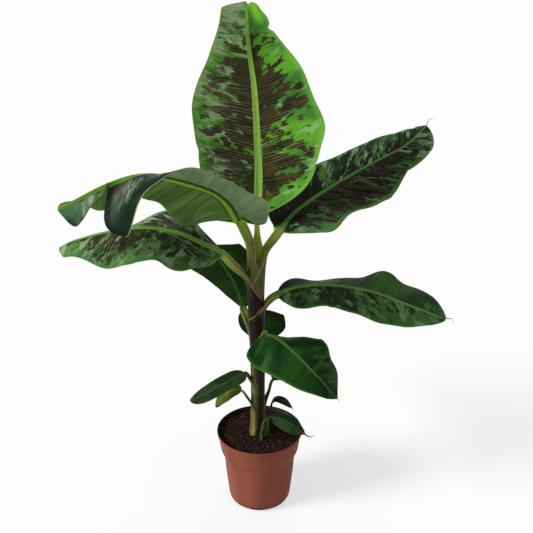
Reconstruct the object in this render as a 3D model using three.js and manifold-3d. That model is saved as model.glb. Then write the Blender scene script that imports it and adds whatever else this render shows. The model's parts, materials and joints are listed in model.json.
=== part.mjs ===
// A young banana plant in a plastic nursery pot.
// Millimetres, +Z up. The origin is the middle of the pot's flat underside.
// -Y is the side the plant is looked at from, +X is its right-hand side.

import * as THREE from 'three';
import { mergeVertices } from 'three/addons/utils/BufferGeometryUtils.js';
import Module from 'manifold-3d';

const wasm = await Module();
wasm.setup();

// Driving dimensions
const GAP = 0.3; // clear space between two pieces that touch
const ROUND_SIDES = 40; // facets round the pot and the soil
const SPAN_STEPS = 40; // length samples in each span of a spine

const POT = {
  height: 175,
  rimRadius: 95,
  bandHeight: 46, // the wide band under the rim
  bandFootRadius: 87.5,
  shoulderRise: 12, // slope between the body and the band
  bodyTopRadius: 80,
  bodyFootRadius: 70,
  edgeRise: 12, // rounded lower edge
  edgeMiddle: [66, 3], // a point half way round it
  flatRadius: 60, // flat underside
  wall: 2.2,
  floor: 3,
  floorEase: 4, // the lower edge rounds the inside by this much as well
  notches: 8, // drain notches round the lower edge
  notchWidth: 12,
  notchRise: 3.2,
  notchTurn: 0.9, // share of a step by which the first notch is turned from +X
};

const SOIL_TOP = 165;

const STEM = {
  top: 578,
  sides: 20,
  steps: 22,
  // radius and middle line at even heights from the soil to the fork
  radii: [19, 16.5, 15.5, 15.5, 16, 16.5, 17.5, 18.5, 19.5],
  middleX: [-3, -3, -3, -3, -3.5, -4.5, -6, -6, -4],
  sheaths: 2, // sheath edges round one section
  sheathStep: 0.07, // how far a sheath's edge stands out, as a share of the radius
  sheathTurns: 0.6, // how far the edges wind round the stem on the way up
  flare: 0.1, // how much wider the foot is, as a share of the radius
  flareRise: 16,
  flareSteps: [0, 4, 10, 18], // extra rings near the soil, above the foot
};

const STALK = {
  sides: 10,
  steps: 9,
  channel: 0.22, // depth of the channel on the upper side, as a share of the radius
  channelPower: 6, // a higher power makes it narrower
};

const BLADE = {
  thicknessShare: 0.0118, // of the blade's length
  leastThickness: 1.4,
  leastHalf: 2,
  ribShare: 0.8, // depth of the midrib under the blade, as a share of the stalk's radius
  ribTaper: 0.75, // how much thinner the midrib is at the tip
  ribReach: 0.25, // widest share of a half that the midrib's slope takes
  bigLength: 150, // blades longer than this get more facets
  bigSteps: 20,
  smallSteps: 8,
  leastSteps: 5,
  bigShares: [1, 0.66, 0.33], // lines of points across a half, from the margin inwards
  smallShares: [1, 0.5],
  endCrowding: 0.6, // how far the steps crowd towards the foot and the tip
};

// Rounding of a blade's foot and tip: share of the length, and power (0.5 is a round end, 1 a tapered one)
const ROUND = 0.5;
const TAPERED = 0.9;

// Leaves, youngest first. A spine runs from inside the stem to the leaf's tip, and the blade begins at its
// point number bladeFrom. face holds the way the upper side looks at the foot and at the tip. Each half has
// its widths and its lifts at even stations from foot to tip: a lift is the angle, in degrees, by which that
// half rises from flat, and a curl bends it further towards the margin. The right half is the one on the
// right of somebody who stands on the upper side at the foot and looks to the tip. tornBulge is how far the
// torn edge of a left half swells towards the tip, as a share of the blade's length.
const LEAVES = [
  {
    name: 'top_leaf',
    spine: [[-1, 9, 560], [-3, 8, 627], [-3, 10, 668], [0, 16, 755], [-3, 24, 838], [-8, 30, 920],
      [-19, 32, 1003], [-21, 22, 1072]],
    bladeFrom: 2,
    stalkRadii: [6, 5],
    face: [[0, -1, 0.1], [0.1, -1, 0.2]],
    foot: [0.25, TAPERED],
    tip: [0.02, ROUND],
    sweep: 0.06,
    left: { widths: [100, 120, 118, 123, 124, 109, 80, 60, 50], lifts: [20, 20, 16, 16, 16, 16, 20, 25, 25] },
    right: { widths: [108, 118, 120, 133, 113, 95, 68, 45, 18], lifts: [20, 20, 15, 15, 15, 18, 20, 25, 25] },
  },
  {
    name: 'upper_right_leaf',
    spine: [[6, 1, 560], [20, 7, 602], [42, 18, 635], [81, 42, 673], [153, 78, 714], [235, 116, 751],
      [311, 146, 784], [356, 160, 823]],
    bladeFrom: 2,
    stalkRadii: [8.5, 9],
    face: [[-0.3, -0.8, 0.6], [-0.3, -0.8, 0.5]],
    foot: [0.08, ROUND],
    tip: [0.1, ROUND],
    sweep: 0.05,
    left: { widths: [46, 62, 66, 66, 66, 57, 36, 10], lifts: [20, 10, 0, -15, -20, -15, -10, -10] },
    right: { widths: [40, 92, 84, 94, 88, 60, 52, 38], lifts: [20, 13, 12, 10, 10, 10, 10, 10] },
  },
  {
    name: 'arching_leaf',
    spine: [[-10, -3, 560], [-21, -14, 627], [-38, -28, 675], [-75, -60, 736], [-130, -101, 770],
      [-190, -142, 793], [-250, -176, 786], [-333, -206, 749]],
    bladeFrom: 2,
    stalkRadii: [11, 10],
    face: [[0.5, 0.6, 0.6], [-0.2, -0.1, 1]],
    sweep: 0.05,
    // The leaf bends over a wide gap, so it is three pieces, and its front half is torn before the tip.
    sections: [
      {
        from: 0,
        to: 0.77,
        cuts: [0.38],
        pieces: ['arching_leaf_rising_blade', 'arching_leaf_hanging_blade'],
        foot: [0.03, 0.4],
        tornBulge: 0.07,
        left: {
          widths: [78, 96, 84, 82, 88, 88, 90, 88, 96],
          lifts: [-6, 8, 4, 7, 13, 11, -2, -28, -108],
          curls: [0, 0, 0, 0, 0, 0, 0, 6, 46],
        },
        right: {
          widths: [76, 80, 86, 82, 66, 64, 64, 64, 60],
          lifts: [-18, -52, -58, -60, -48, -48, -50, -52, -52],
        },
      },
      {
        from: 0.77,
        to: 1,
        cuts: [],
        pieces: ['arching_leaf_tip_blade'],
        tip: [0.05, ROUND],
        left: { widths: [14, 20, 34, 50], lifts: [-60, -60, -60, -60] },
        right: { widths: [60, 46, 18, 12], lifts: [-52, -54, -24, 20] },
      },
    ],
  },
  {
    name: 'left_leaf',
    spine: [[-8, -4, 492], [-32, -15, 545], [-71, -35, 606], [-109, -60, 637], [-147, -80, 663],
      [-201, -100, 682], [-269, -125, 683], [-330, -138, 670], [-360, -140, 656]],
    bladeFrom: 2,
    stalkRadii: [12, 9],
    face: [[0.3, -0.3, 1], [-0.1, -0.3, 1]],
    foot: [0.2, TAPERED],
    tip: [0.1, ROUND],
    sweep: 0.05,
    left: { widths: [58, 66, 92, 86, 88, 86, 50, 26], lifts: [-16, -10, -12, -9, -9, -14, -8, 0] },
    right: { widths: [42, 60, 77, 68, 54, 46, 40, 24], lifts: [8, 7, -1, -22, -42, -95, -100, -95] },
  },
  {
    name: 'right_leaf',
    spine: [[2, -2, 440], [18, -6, 487], [38, -12, 508], [78, -20, 529], [154, -35, 538], [229, -50, 530],
      [306, -60, 503], [373, -70, 479]],
    bladeFrom: 2,
    stalkRadii: [10, 8],
    face: [[-0.2, -0.3, 1], [0.1, -0.3, 1]],
    foot: [0.1, ROUND],
    tip: [0.12, ROUND],
    sweep: 0.05,
    left: { widths: [36, 66, 60, 68, 76, 65, 54, 30], lifts: [0, -32, -25, -20, -2, -3, 7, 0] },
    right: { widths: [36, 56, 60, 66, 66, 57, 43, 16], lifts: [-26, -10, -4, -10, -13, -13, -4, 0] },
  },
  {
    name: 'back_left_leaf',
    spine: [[-8, 4, 375], [-22, 15, 425], [-33, 28, 455], [-56, 90, 491], [-98, 170, 522], [-130, 240, 527],
      [-150, 310, 500]],
    bladeFrom: 2,
    stalkRadii: [9, 8],
    face: [[0, -0.4, 1], [0, 0.2, 1]],
    foot: [0.14, TAPERED],
    tip: [0.25, ROUND],
    sweep: 0.05,
    left: { widths: [14, 40, 72, 78, 72, 40], lifts: [5, 5, 0, -10, -10, -20] },
    right: { widths: [36, 52, 79, 84, 74, 40], lifts: [0, 0, -1, -4, -8, -20] },
  },
  {
    name: 'back_leaf',
    spine: [[2, 4, 335], [6, 26, 368], [6, 38, 378], [6, 90, 392], [6, 150, 392], [5, 205, 374]],
    bladeFrom: 2,
    stalkRadii: [8, 6],
    face: [[0, -0.4, 1], [0, 0.2, 1]],
    foot: [0.25, ROUND],
    tip: [0.4, ROUND],
    sweep: 0.05,
    left: { widths: [40, 54, 53, 46], lifts: [2, 0, -6, -8] },
    right: { widths: [52, 53, 50, 46], lifts: [0, -5, -9, -8] },
  },
  {
    name: 'front_leaf',
    spine: [[1, -8, 375], [8, -19, 412], [13, -27, 427], [44, -62, 428], [78, -90, 408], [111, -109, 379],
      [157, -126, 331]],
    bladeFrom: 2,
    stalkRadii: [8, 6],
    face: [[-0.2, -0.35, 0.9], [0.3, -0.4, 0.8]],
    foot: [0.08, ROUND],
    tip: [0.1, ROUND],
    sweep: 0.04,
    left: { widths: [28, 36, 54, 67, 61, 50, 14], lifts: [-50, -38, -10, 3, -3, -6, -20] },
    right: { widths: [66, 76, 68, 57, 47, 30, 8], lifts: [5, -12, -20, -15, -10, 0, 0] },
  },
  {
    name: 'low_left_leaf',
    spine: [[-6, -2, 268], [-19, -10, 306], [-30, -20, 328], [-61, -45, 325], [-100, -70, 314],
      [-142, -85, 299]],
    bladeFrom: 2,
    stalkRadii: [6, 4],
    face: [[0, -0.3, 1], [0, -0.3, 1]],
    foot: [0.2, ROUND],
    tip: [0.3, ROUND],
    sweep: 0.05,
    left: { widths: [24, 19, 19, 18], lifts: [-14, -6, -10, -8] },
    right: { widths: [22, 22, 19, 10], lifts: [0, 0, 0, 0] },
  },
  {
    name: 'yellow_leaf',
    spine: [[-10, -4, 205], [-22, -13, 253], [-38, -20, 285], [-58, -30, 290], [-79, -40, 278],
      [-92, -50, 262]],
    bladeFrom: 2,
    stalkRadii: [4, 2.5],
    face: [[0, -0.3, 1], [0, -0.3, 1]],
    foot: [0.2, ROUND],
    tip: [0.6, ROUND],
    sweep: 0.05,
    left: { widths: [10, 14, 10], lifts: [-20, -20, -20] },
    right: { widths: [16, 14, 10], lifts: [20, 10, 0] },
  },
  {
    name: 'low_back_leaf',
    spine: [[4, 4, 195], [19, 15, 250], [30, 22, 288], [60, 45, 300], [100, 65, 295], [145, 85, 275]],
    bladeFrom: 2,
    stalkRadii: [4, 3],
    face: [[0, -0.3, 1], [0, -0.3, 1]],
    foot: [0.2, ROUND],
    tip: [0.4, ROUND],
    sweep: 0.05,
    left: { widths: [20, 26, 26, 20], lifts: [0, 0, 0, 0] },
    right: { widths: [20, 26, 26, 20], lifts: [-10, -10, -10, -10] },
  },
  {
    name: 'sucker_upper_leaf',
    spine: [[25, 14, 150], [26, 14, 209], [28, 11, 235], [37, 5, 249], [54, -4, 249], [72, -12, 236]],
    bladeFrom: 2,
    stalkRadii: [3.5, 2.5],
    face: [[0, -0.3, 1], [0, -0.3, 1]],
    foot: [0.2, ROUND],
    tip: [0.6, ROUND],
    sweep: 0.05,
    left: { widths: [6, 9, 6], lifts: [0, 0, 0] },
    right: { widths: [6, 9, 6], lifts: [-20, -20, -20] },
  },
  {
    name: 'sucker_front_leaf',
    spine: [[1, -30, 150], [8, -29, 204], [17, -28, 217], [29, -28, 223], [52, -40, 224], [74, -48, 215],
      [98, -56, 199]],
    bladeFrom: 3,
    stalkRadii: [4, 2.5],
    face: [[0, -0.3, 1], [0, -0.3, 1]],
    foot: [0.2, ROUND],
    tip: [0.5, ROUND],
    sweep: 0.05,
    left: { widths: [12, 17, 12], lifts: [10, 0, 0] },
    right: { widths: [16, 21, 13], lifts: [-30, -30, -20] },
  },
  {
    name: 'sucker_low_leaf',
    spine: [[17, -28, 217], [19, -33, 211], [18, -34, 205], [14, -36, 193], [9, -38, 179]],
    bladeFrom: 2,
    stalkRadii: [2, 1.5],
    face: [[0.3, -1, 0.2], [0.3, -1, 0.2]],
    foot: [0.3, ROUND],
    tip: [0.6, ROUND],
    sweep: 0.05,
    left: { widths: [6, 9, 6], lifts: [10, 10, 10] },
    right: { widths: [6, 9, 6], lifts: [10, 10, 10] },
  },
];

// Colours
const TERRACOTTA = 0x96583e;
const SOIL_BROWN = 0x2b2019;
const STEM_OLIVE = 0x7b7a4a;
const STALK_GREEN = 0x6f8a3c;
const LEAF_GREEN = 0x3f7a33;
const DARK_LEAF = 0x24402a;
const YELLOW_LEAF = 0x9a9a3a;

const BLADE_COLOURS = {
  upper_right_leaf: DARK_LEAF,
  arching_leaf: DARK_LEAF,
  back_left_leaf: DARK_LEAF,
  back_leaf: DARK_LEAF,
  low_left_leaf: DARK_LEAF,
  yellow_leaf: YELLOW_LEAF,
};

// Solids and geometry
function signedVolume(positions, triangles) {
  const [a, b, c] = [new THREE.Vector3(), new THREE.Vector3(), new THREE.Vector3()];
  let volume = 0;
  for (let i = 0; i < triangles.length; i += 3) {
    a.fromArray(positions, triangles[i] * 3);
    b.fromArray(positions, triangles[i + 1] * 3);
    c.fromArray(positions, triangles[i + 2] * 3);
    volume += a.dot(b.cross(c));
  }
  return volume / 6;
}

function solidFrom(vertices, triangles) {
  const positions = vertices.flatMap((v) => [v.x, v.y, v.z]);
  if (signedVolume(positions, triangles) < 0) triangles.reverse();
  const vertProperties = new Float32Array(positions);
  const triVerts = new Uint32Array(triangles);
  return new wasm.Manifold(new wasm.Mesh({ numProp: 3, vertProperties, triVerts }));
}

function solidOf(geometry) {
  const bare = geometry.clone();
  bare.deleteAttribute('normal');
  bare.deleteAttribute('uv');
  const merged = mergeVertices(bare, 1e-3);
  const vertProperties = new Float32Array(merged.attributes.position.array);
  const triVerts = new Uint32Array(merged.index.array);
  return new wasm.Manifold(new wasm.Mesh({ numProp: 3, vertProperties, triVerts }));
}

function geometryOf(solid) {
  const mesh = solid.getMesh();
  const geometry = new THREE.BufferGeometry();
  geometry.setAttribute('position', new THREE.BufferAttribute(new Float32Array(mesh.vertProperties), 3));
  geometry.setIndex(new THREE.BufferAttribute(new Uint32Array(mesh.triVerts), 1));
  geometry.computeVertexNormals();
  return geometry;
}

function largestBody(solid) {
  return solid.decompose().reduce((a, b) => (b.volume() > a.volume() ? b : a));
}

// Two triangles for each cell of a grid of vertex numbers
function gridTriangles(rows, closed) {
  const triangles = [];
  for (let i = 0; i + 1 < rows.length; i += 1) {
    const across = rows[i].length;
    const cells = closed ? across : across - 1;
    for (let j = 0; j < cells; j += 1) {
      const k = (j + 1) % across;
      triangles.push(rows[i][j], rows[i][k], rows[i + 1][k]);
      triangles.push(rows[i][j], rows[i + 1][k], rows[i + 1][j]);
    }
  }
  return triangles;
}

// A closed limb through rings of points
function limbSolid(rings) {
  const vertices = rings.flat();
  const sides = rings[0].length;
  const rows = rings.map((ring, i) => ring.map((_, j) => i * sides + j));
  const triangles = gridTriangles(rows, true);
  const last = rings.length - 1;
  for (let j = 1; j + 1 < sides; j += 1) {
    triangles.push(rows[0][0], rows[0][j + 1], rows[0][j]);
    triangles.push(rows[last][0], rows[last][j], rows[last][j + 1]);
  }
  return solidFrom(vertices, triangles);
}

// A closed sheet between a grid of upper points and a grid of lower points
function sheetSolid(upper, lower) {
  const across = upper[0].length;
  const along = upper.length;
  const vertices = [...upper.flat(), ...lower.flat()];
  const up = upper.map((row, i) => row.map((_, j) => i * across + j));
  const down = up.map((row) => row.map((n) => n + along * across));
  const edge = [];
  for (let j = 0; j < across; j += 1) edge.push([0, j]);
  for (let i = 1; i < along; i += 1) edge.push([i, across - 1]);
  for (let j = across - 2; j >= 0; j -= 1) edge.push([along - 1, j]);
  for (let i = along - 2; i > 0; i -= 1) edge.push([i, 0]);
  const rim = [edge.map(([i, j]) => down[i][j]), edge.map(([i, j]) => up[i][j])];
  const triangles = [
    ...gridTriangles(up, false),
    ...gridTriangles(down.map((row) => [...row].reverse()), false),
    ...gridTriangles(rim, true),
  ];
  return solidFrom(vertices, triangles);
}

// Number lists read smoothly at a share of their length
function smoothRead(values, share) {
  if (values.length === 1) return values[0];
  const at = THREE.MathUtils.clamp(share, 0, 1) * (values.length - 1);
  const i = Math.min(Math.floor(at), values.length - 2);
  const t = at - i;
  const [b, c] = [values[i], values[i + 1]];
  const a = i > 0 ? values[i - 1] : 2 * b - c;
  const d = i + 2 < values.length ? values[i + 2] : 2 * c - b;
  const [enter, leave] = [(c - a) / 2, (d - b) / 2];
  return (2 * t ** 3 - 3 * t ** 2 + 1) * b + (t ** 3 - 2 * t ** 2 + t) * enter
    + (-2 * t ** 3 + 3 * t ** 2) * c + (t ** 3 - t ** 2) * leave;
}

// Share of the full width that the rounded foot and tip leave at a station
function endShare(s, foot, tip) {
  let share = 1;
  if (foot && s < foot[0]) share *= Math.max(1 - (1 - s / foot[0]) ** 2, 0) ** foot[1];
  if (tip && s > 1 - tip[0]) share *= Math.max(1 - ((s - 1 + tip[0]) / tip[0]) ** 2, 0) ** tip[1];
  return share;
}

// The spine of a leaf, with its direction and its upper side at any length
function spineOf(leaf) {
  const knots = leaf.spine.map((p) => new THREE.Vector3(...p));
  const curve = new THREE.CatmullRomCurve3(knots, false, 'catmullrom', 0.5);
  curve.arcLengthDivisions = (leaf.spine.length - 1) * SPAN_STEPS;
  const lengths = curve.getLengths();
  const total = lengths[lengths.length - 1];
  const start = lengths[leaf.bladeFrom * SPAN_STEPS];
  const faces = leaf.face.map((f) => new THREE.Vector3(...f).normalize());
  const frameAt = (length) => {
    const share = THREE.MathUtils.clamp(length / total, 0, 1);
    const point = curve.getPointAt(share);
    const along = curve.getTangentAt(share);
    const bladeShare = THREE.MathUtils.clamp((length - start) / (total - start), 0, 1);
    const up = faces[0].clone().lerp(faces[1], bladeShare);
    up.addScaledVector(along, -up.dot(along)).normalize();
    const right = along.clone().cross(up);
    return { point, along, up, right };
  };
  return { start, bladeLength: total - start, frameAt };
}

// A point of the blade at station s and share t of the half width; side is -1 for the left half and 1 for
// the right
function bladePoint(leaf, section, spine, s, side, t) {
  const half = side < 0 ? section.left : section.right;
  const share = (s - section.from) / (section.to - section.from);
  const full = smoothRead(half.widths, share) * endShare(s, section.foot, section.tip);
  const width = Math.max(full, BLADE.leastHalf) * t;
  const curl = half.curls ? smoothRead(half.curls, share) : 0;
  const angle = THREE.MathUtils.degToRad(smoothRead(half.lifts, share) + (curl * t) / 2);
  const torn = side < 0 && section.tornBulge ? section.tornBulge * Math.max(share, 0) ** 6 : 0;
  const swept = s + leaf.sweep * t * 4 * s * (1 - s) + torn * 6.75 * t ** 2 * (1 - t);
  const { point, up, right } = spine.frameAt(spine.start + swept * spine.bladeLength);
  point.addScaledVector(right, side * width * Math.cos(angle));
  return point.addScaledVector(up, width * Math.sin(angle));
}

function gridNormal(grid, i, j) {
  const [before, after] = [Math.max(i - 1, 0), Math.min(i + 1, grid.length - 1)];
  const [left, right] = [Math.max(j - 1, 0), Math.min(j + 1, grid[0].length - 1)];
  const along = grid[after][j].clone().sub(grid[before][j]);
  const across = grid[i][right].clone().sub(grid[i][left]);
  return across.cross(along).normalize();
}

// One piece of a blade, between two stations, with its midrib standing out below
function bladeSolid(leaf, section, spine, from, to) {
  const big = spine.bladeLength > BLADE.bigLength;
  const fullSteps = big ? BLADE.bigSteps : BLADE.smallSteps;
  const steps = Math.max(Math.round(fullSteps * (to - from)), BLADE.leastSteps);
  const thickness = Math.max(spine.bladeLength * BLADE.thicknessShare, BLADE.leastThickness);
  const ribRadius = (s) => leaf.stalkRadii[1] * (1 - BLADE.ribTaper * s);
  const clear = (GAP * 2) / spine.bladeLength;
  const [first, last] = [from + clear, to - (to < 1 ? clear : 0)];
  const grid = [];
  for (let i = 0; i <= steps; i += 1) {
    const even = i / steps;
    const crowded = 0.5 - 0.5 * Math.cos(Math.PI * even);
    const s = THREE.MathUtils.lerp(first, last, THREE.MathUtils.lerp(even, crowded, BLADE.endCrowding));
    const margin = bladePoint(leaf, section, spine, s, 1, 1);
    const middle = bladePoint(leaf, section, spine, s, 1, 0);
    const ribShare = Math.min(ribRadius(s) / Math.max(margin.distanceTo(middle), 1), BLADE.ribReach);
    const stations = big ? [...BLADE.bigShares, ribShare] : [...BLADE.smallShares];
    const row = stations.map((t) => bladePoint(leaf, section, spine, s, -1, t));
    row.push(middle);
    row.push(...stations.reverse().map((t) => bladePoint(leaf, section, spine, s, 1, t)));
    grid.push(row);
  }
  const centre = (grid[0].length - 1) / 2;
  const upper = [];
  const lower = [];
  grid.forEach((row, i) => {
    const s = THREE.MathUtils.lerp(first, last, i / steps);
    const normals = row.map((_, j) => gridNormal(grid, i, j));
    upper.push(row.map((p, j) => p.clone().addScaledVector(normals[j], thickness / 2)));
    lower.push(row.map((p, j) => {
      const rib = big && j === centre ? ribRadius(s) * BLADE.ribShare : 0;
      return p.clone().addScaledVector(normals[j], -thickness / 2 - rib);
    }));
  });
  return sheetSolid(upper, lower);
}

// A leaf's stalk: a tapering limb with a shallow channel on its upper side
function stalkSolid(leaf, spine, extra) {
  const rings = [];
  for (let i = 0; i <= STALK.steps; i += 1) {
    const share = i / STALK.steps;
    const radius = THREE.MathUtils.lerp(...leaf.stalkRadii, share) + extra;
    const { point, up, right } = spine.frameAt(spine.start * share);
    const ring = [];
    for (let j = 0; j < STALK.sides; j += 1) {
      const angle = (2 * Math.PI * j) / STALK.sides;
      const reach = radius * (1 - STALK.channel * Math.max(Math.sin(angle), 0) ** STALK.channelPower);
      const p = point.clone().addScaledVector(right, reach * Math.cos(angle));
      ring.push(p.addScaledVector(up, reach * Math.sin(angle)));
    }
    rings.push(ring);
  }
  return limbSolid(rings);
}

// The stem: leaf sheaths wrapped round each other, so its section has two stepped edges that wind upwards
function stemSolid(extra) {
  const foot = SOIL_TOP + GAP;
  const height = STEM.top - foot;
  const levels = STEM.flareSteps.map((rise) => rise / height);
  for (let i = 1; i <= STEM.steps; i += 1) levels.push(i / STEM.steps);
  const rings = levels.sort((a, b) => a - b).map((share) => {
    const flare = 1 + STEM.flare * Math.max(1 - (share * height) / STEM.flareRise, 0);
    const radius = smoothRead(STEM.radii, share) * flare;
    const middle = smoothRead(STEM.middleX, share);
    const z = foot + share * height + (share === 1 ? extra : 0) - (share === 0 ? extra : 0);
    const ring = [];
    for (let j = 0; j < STEM.sides; j += 1) {
      const angle = (2 * Math.PI * j) / STEM.sides;
      const turn = (STEM.sheaths * j) / STEM.sides + STEM.sheathTurns * share;
      const step = 1 - STEM.sheathStep * (turn - Math.floor(turn));
      const reach = radius * step + extra;
      ring.push(new THREE.Vector3(middle + reach * Math.cos(angle), reach * Math.sin(angle), z));
    }
    return ring;
  });
  return limbSolid(rings);
}

// The pot: a thin wall with a band under the rim, a rounded lower edge and drain notches
const bandFoot = POT.height - POT.bandHeight;
const innerWall = [
  [POT.bodyFootRadius - POT.wall - POT.floorEase, POT.floor],
  [POT.bodyFootRadius - POT.wall, POT.edgeRise],
  [POT.bodyTopRadius - POT.wall, bandFoot - POT.shoulderRise],
  [POT.bandFootRadius - POT.wall, bandFoot],
  [POT.rimRadius - POT.wall, POT.height],
];

function turned(profile) {
  const outline = profile.map(([r, z]) => new THREE.Vector2(r, z));
  return new THREE.LatheGeometry(outline, ROUND_SIDES).rotateX(Math.PI / 2);
}

function potGeometry() {
  const outer = [
    [0, 0],
    [POT.flatRadius, 0],
    POT.edgeMiddle,
    [POT.bodyFootRadius, POT.edgeRise],
    [POT.bodyTopRadius, bandFoot - POT.shoulderRise],
    [POT.bandFootRadius, bandFoot],
    [POT.rimRadius, POT.height],
  ];
  const inner = [...innerWall].reverse();
  let pot = solidOf(turned([...outer, ...inner, [0, POT.floor]]));
  const notchDepth = (POT.bodyFootRadius - POT.flatRadius) * 2;
  for (let i = 0; i < POT.notches; i += 1) {
    const notch = new THREE.BoxGeometry(notchDepth, POT.notchWidth, POT.notchRise * 2);
    notch.translate(POT.bodyFootRadius, 0, 0).rotateZ(((i + POT.notchTurn) * 2 * Math.PI) / POT.notches);
    pot = pot.subtract(solidOf(notch));
  }
  return geometryOf(pot);
}

function soilGeometry() {
  const inside = innerWall.slice(0, -1).map(([r, z]) => [r - GAP, z]);
  inside[0][1] += GAP;
  const [low, high] = innerWall.slice(-2);
  const share = (SOIL_TOP - low[1]) / (high[1] - low[1]);
  const topRadius = THREE.MathUtils.lerp(low[0], high[0], share) - GAP;
  const profile = [[0, POT.floor + GAP], ...inside, [topRadius, SOIL_TOP], [0, SOIL_TOP]];
  return geometryOf(solidOf(turned(profile)));
}

// The whole plant
const plant = new THREE.Group();

function add(name, geometry, color, roughness) {
  const material = new THREE.MeshStandardMaterial({ color, roughness, metalness: 0 });
  const mesh = new THREE.Mesh(geometry, material);
  mesh.name = name;
  plant.add(mesh);
}

add('pot', potGeometry(), TERRACOTTA, 0.45);
add('soil', soilGeometry(), SOIL_BROWN, 0.95);
add('stem', geometryOf(stemSolid(0)), STEM_OLIVE, 0.6);

const soilSpace = new THREE.BoxGeometry(POT.rimRadius * 2, POT.rimRadius * 2, SOIL_TOP);
soilSpace.translate(0, 0, SOIL_TOP / 2 + GAP);
const taken = [stemSolid(GAP), solidOf(soilSpace)];

for (const leaf of LEAVES) {
  const spine = spineOf(leaf);
  let stalk = stalkSolid(leaf, spine, 0);
  for (const space of taken) stalk = stalk.subtract(space);
  add(`${leaf.name}_stalk`, geometryOf(largestBody(stalk)), STALK_GREEN, 0.5);
  taken.push(stalkSolid(leaf, spine, GAP));

  const whole = { from: 0, to: 1, cuts: [], pieces: [`${leaf.name}_blade`], ...leaf };
  for (const section of leaf.sections ?? [whole]) {
    const ends = [section.from, ...section.cuts, section.to];
    section.pieces.forEach((name, i) => {
      let blade = bladeSolid(leaf, section, spine, ends[i], ends[i + 1]);
      for (const space of [taken[0], taken[taken.length - 1]]) blade = blade.subtract(space);
      add(name, geometryOf(largestBody(blade)), BLADE_COLOURS[leaf.name] ?? LEAF_GREEN, 0.55);
    });
  }
}

export default plant;
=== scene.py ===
"""A young banana plant in a plastic nursery pot. Metres, +Z up, and -Y is the side it is looked at from."""

import json
import math

import bpy
import numpy as np
from mathutils import Matrix, Vector, noise


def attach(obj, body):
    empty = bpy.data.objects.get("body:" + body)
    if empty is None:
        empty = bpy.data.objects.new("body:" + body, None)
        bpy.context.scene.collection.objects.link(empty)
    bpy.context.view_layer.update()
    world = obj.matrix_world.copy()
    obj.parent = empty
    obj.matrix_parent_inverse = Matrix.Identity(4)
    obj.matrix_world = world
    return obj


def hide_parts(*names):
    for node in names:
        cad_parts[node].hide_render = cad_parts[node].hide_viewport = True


bl_info = {
    "name": "Potted Banana Plant",
    "version": (1, 0, 0),
    "blender": (4, 5, 0),
    "location": "View3D > Sidebar > Banana Plant",
    "description": "Builds a young banana plant in a nursery pot, with its soil, stem, leaves and studio",
    "category": "Add Mesh",
}

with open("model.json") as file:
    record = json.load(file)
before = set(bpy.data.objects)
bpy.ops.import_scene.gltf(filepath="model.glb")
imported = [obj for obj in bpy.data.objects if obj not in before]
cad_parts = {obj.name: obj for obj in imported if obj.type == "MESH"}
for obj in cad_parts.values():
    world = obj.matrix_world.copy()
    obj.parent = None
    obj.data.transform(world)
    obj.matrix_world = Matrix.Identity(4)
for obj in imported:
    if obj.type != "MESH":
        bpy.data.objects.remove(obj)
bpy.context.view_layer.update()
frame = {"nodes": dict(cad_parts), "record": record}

# Named sizes. Lengths in these tables are in millimetres.
MM = 0.001
SPAN_STEPS = 40  # points on each span of a leaf's spine

POT = {
    "height": 175,
    "rim_radius": 95,
    "band_height": 46,
    "band_foot_radius": 87.5,
    "shoulder_rise": 12,
    "body_top_radius": 80,
    "body_foot_radius": 70,
    "edge_rise": 12,
    "flat_radius": 60,
    "wall": 2.2,
    "floor": 3,
    "lip": 1.1,
    "notches": 8,
    "notch_width": 24,
    "notch_depth": 20,
    "notch_rise": 10,
    "notch_turn": 0.9,
}
# Radius and height of each ring of the pot's outside, with the heights measured from its underside, from its
# shoulder, from the foot of its band and from its rim
POT_RINGS = {
    "foot": [(POT["flat_radius"], 0), (63.5, 0.9), (66.5, 3.2), (68.8, 7),
             (POT["body_foot_radius"], POT["edge_rise"]), (72.2, 32), (74.4, 52), (76.6, 73)],
    "shoulder": [(79.2, -6), (80.2, -1), (81.6, 3), (83.6, 6.5)],
    "band": [(85.5, -2.5), (86.8, 1), (87.7, 5), (90.2, 22), (92.6, 41)],
    "rim": [(93.8, -8), (94.1, -5), (POT["rim_radius"], -4.2), (POT["rim_radius"], -POT["lip"]), (94.6, -0.4),
            (94, 0)],
}
# Radius and height of the rings at the foot of the pot's inside
POT_FLOOR_RINGS = [(66 - POT["wall"], 4.2), (62, POT["floor"]), (30, POT["floor"])]

SOIL_TOP = 165
SOIL_EDGE = 91.4
# The share of the bed's rows that lie on its top. For the others, how far down the bed's side they lie, as a
# share, and their radii.
SOIL_TOP_SHARE = 0.7
SOIL_SIDE = ([0, 0.35, 0.5, 0.9, 0.999, 1], [SOIL_EDGE, 84.6, 76.9, 67, 63, 0])
# Loose lumps, fibres and a few pale grains. A lump's width and height and a fibre's length are shares of its
# size, and uneven is how far the corners are pulled in and out.
CRUMBS = {
    "seed": 7,
    "sizes": (0.9, 3.0),
    "lump_width": 0.8,
    "lump_height": 0.6,
    "fibre_share": 0.3,
    "fibre_length": 3.2,
    "fibre_width": 0.7,
    "fibre_height": 0.55,
    "pale_share": 0.008,
    "pale_size": 1.1,
    "uneven": (0.75, 1.2),
}

STEM = {
    "top": 578,
    "radii": [19, 16.5, 15.5, 15.5, 16, 16.5, 17.5, 18.5, 19.5],
    "middle_x": [-3, -3, -3, -3, -3.5, -4.5, -6, -6, -4],
    "flare": 0.1,
    "flare_rise": 16,
    "foot_depth": 4,
    "map_radius": 17,
}

# The least half width of a blade, and how its ends narrow
LEAST_HALF = 2
ROUND = 0.5
TAPERED = 0.9

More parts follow.
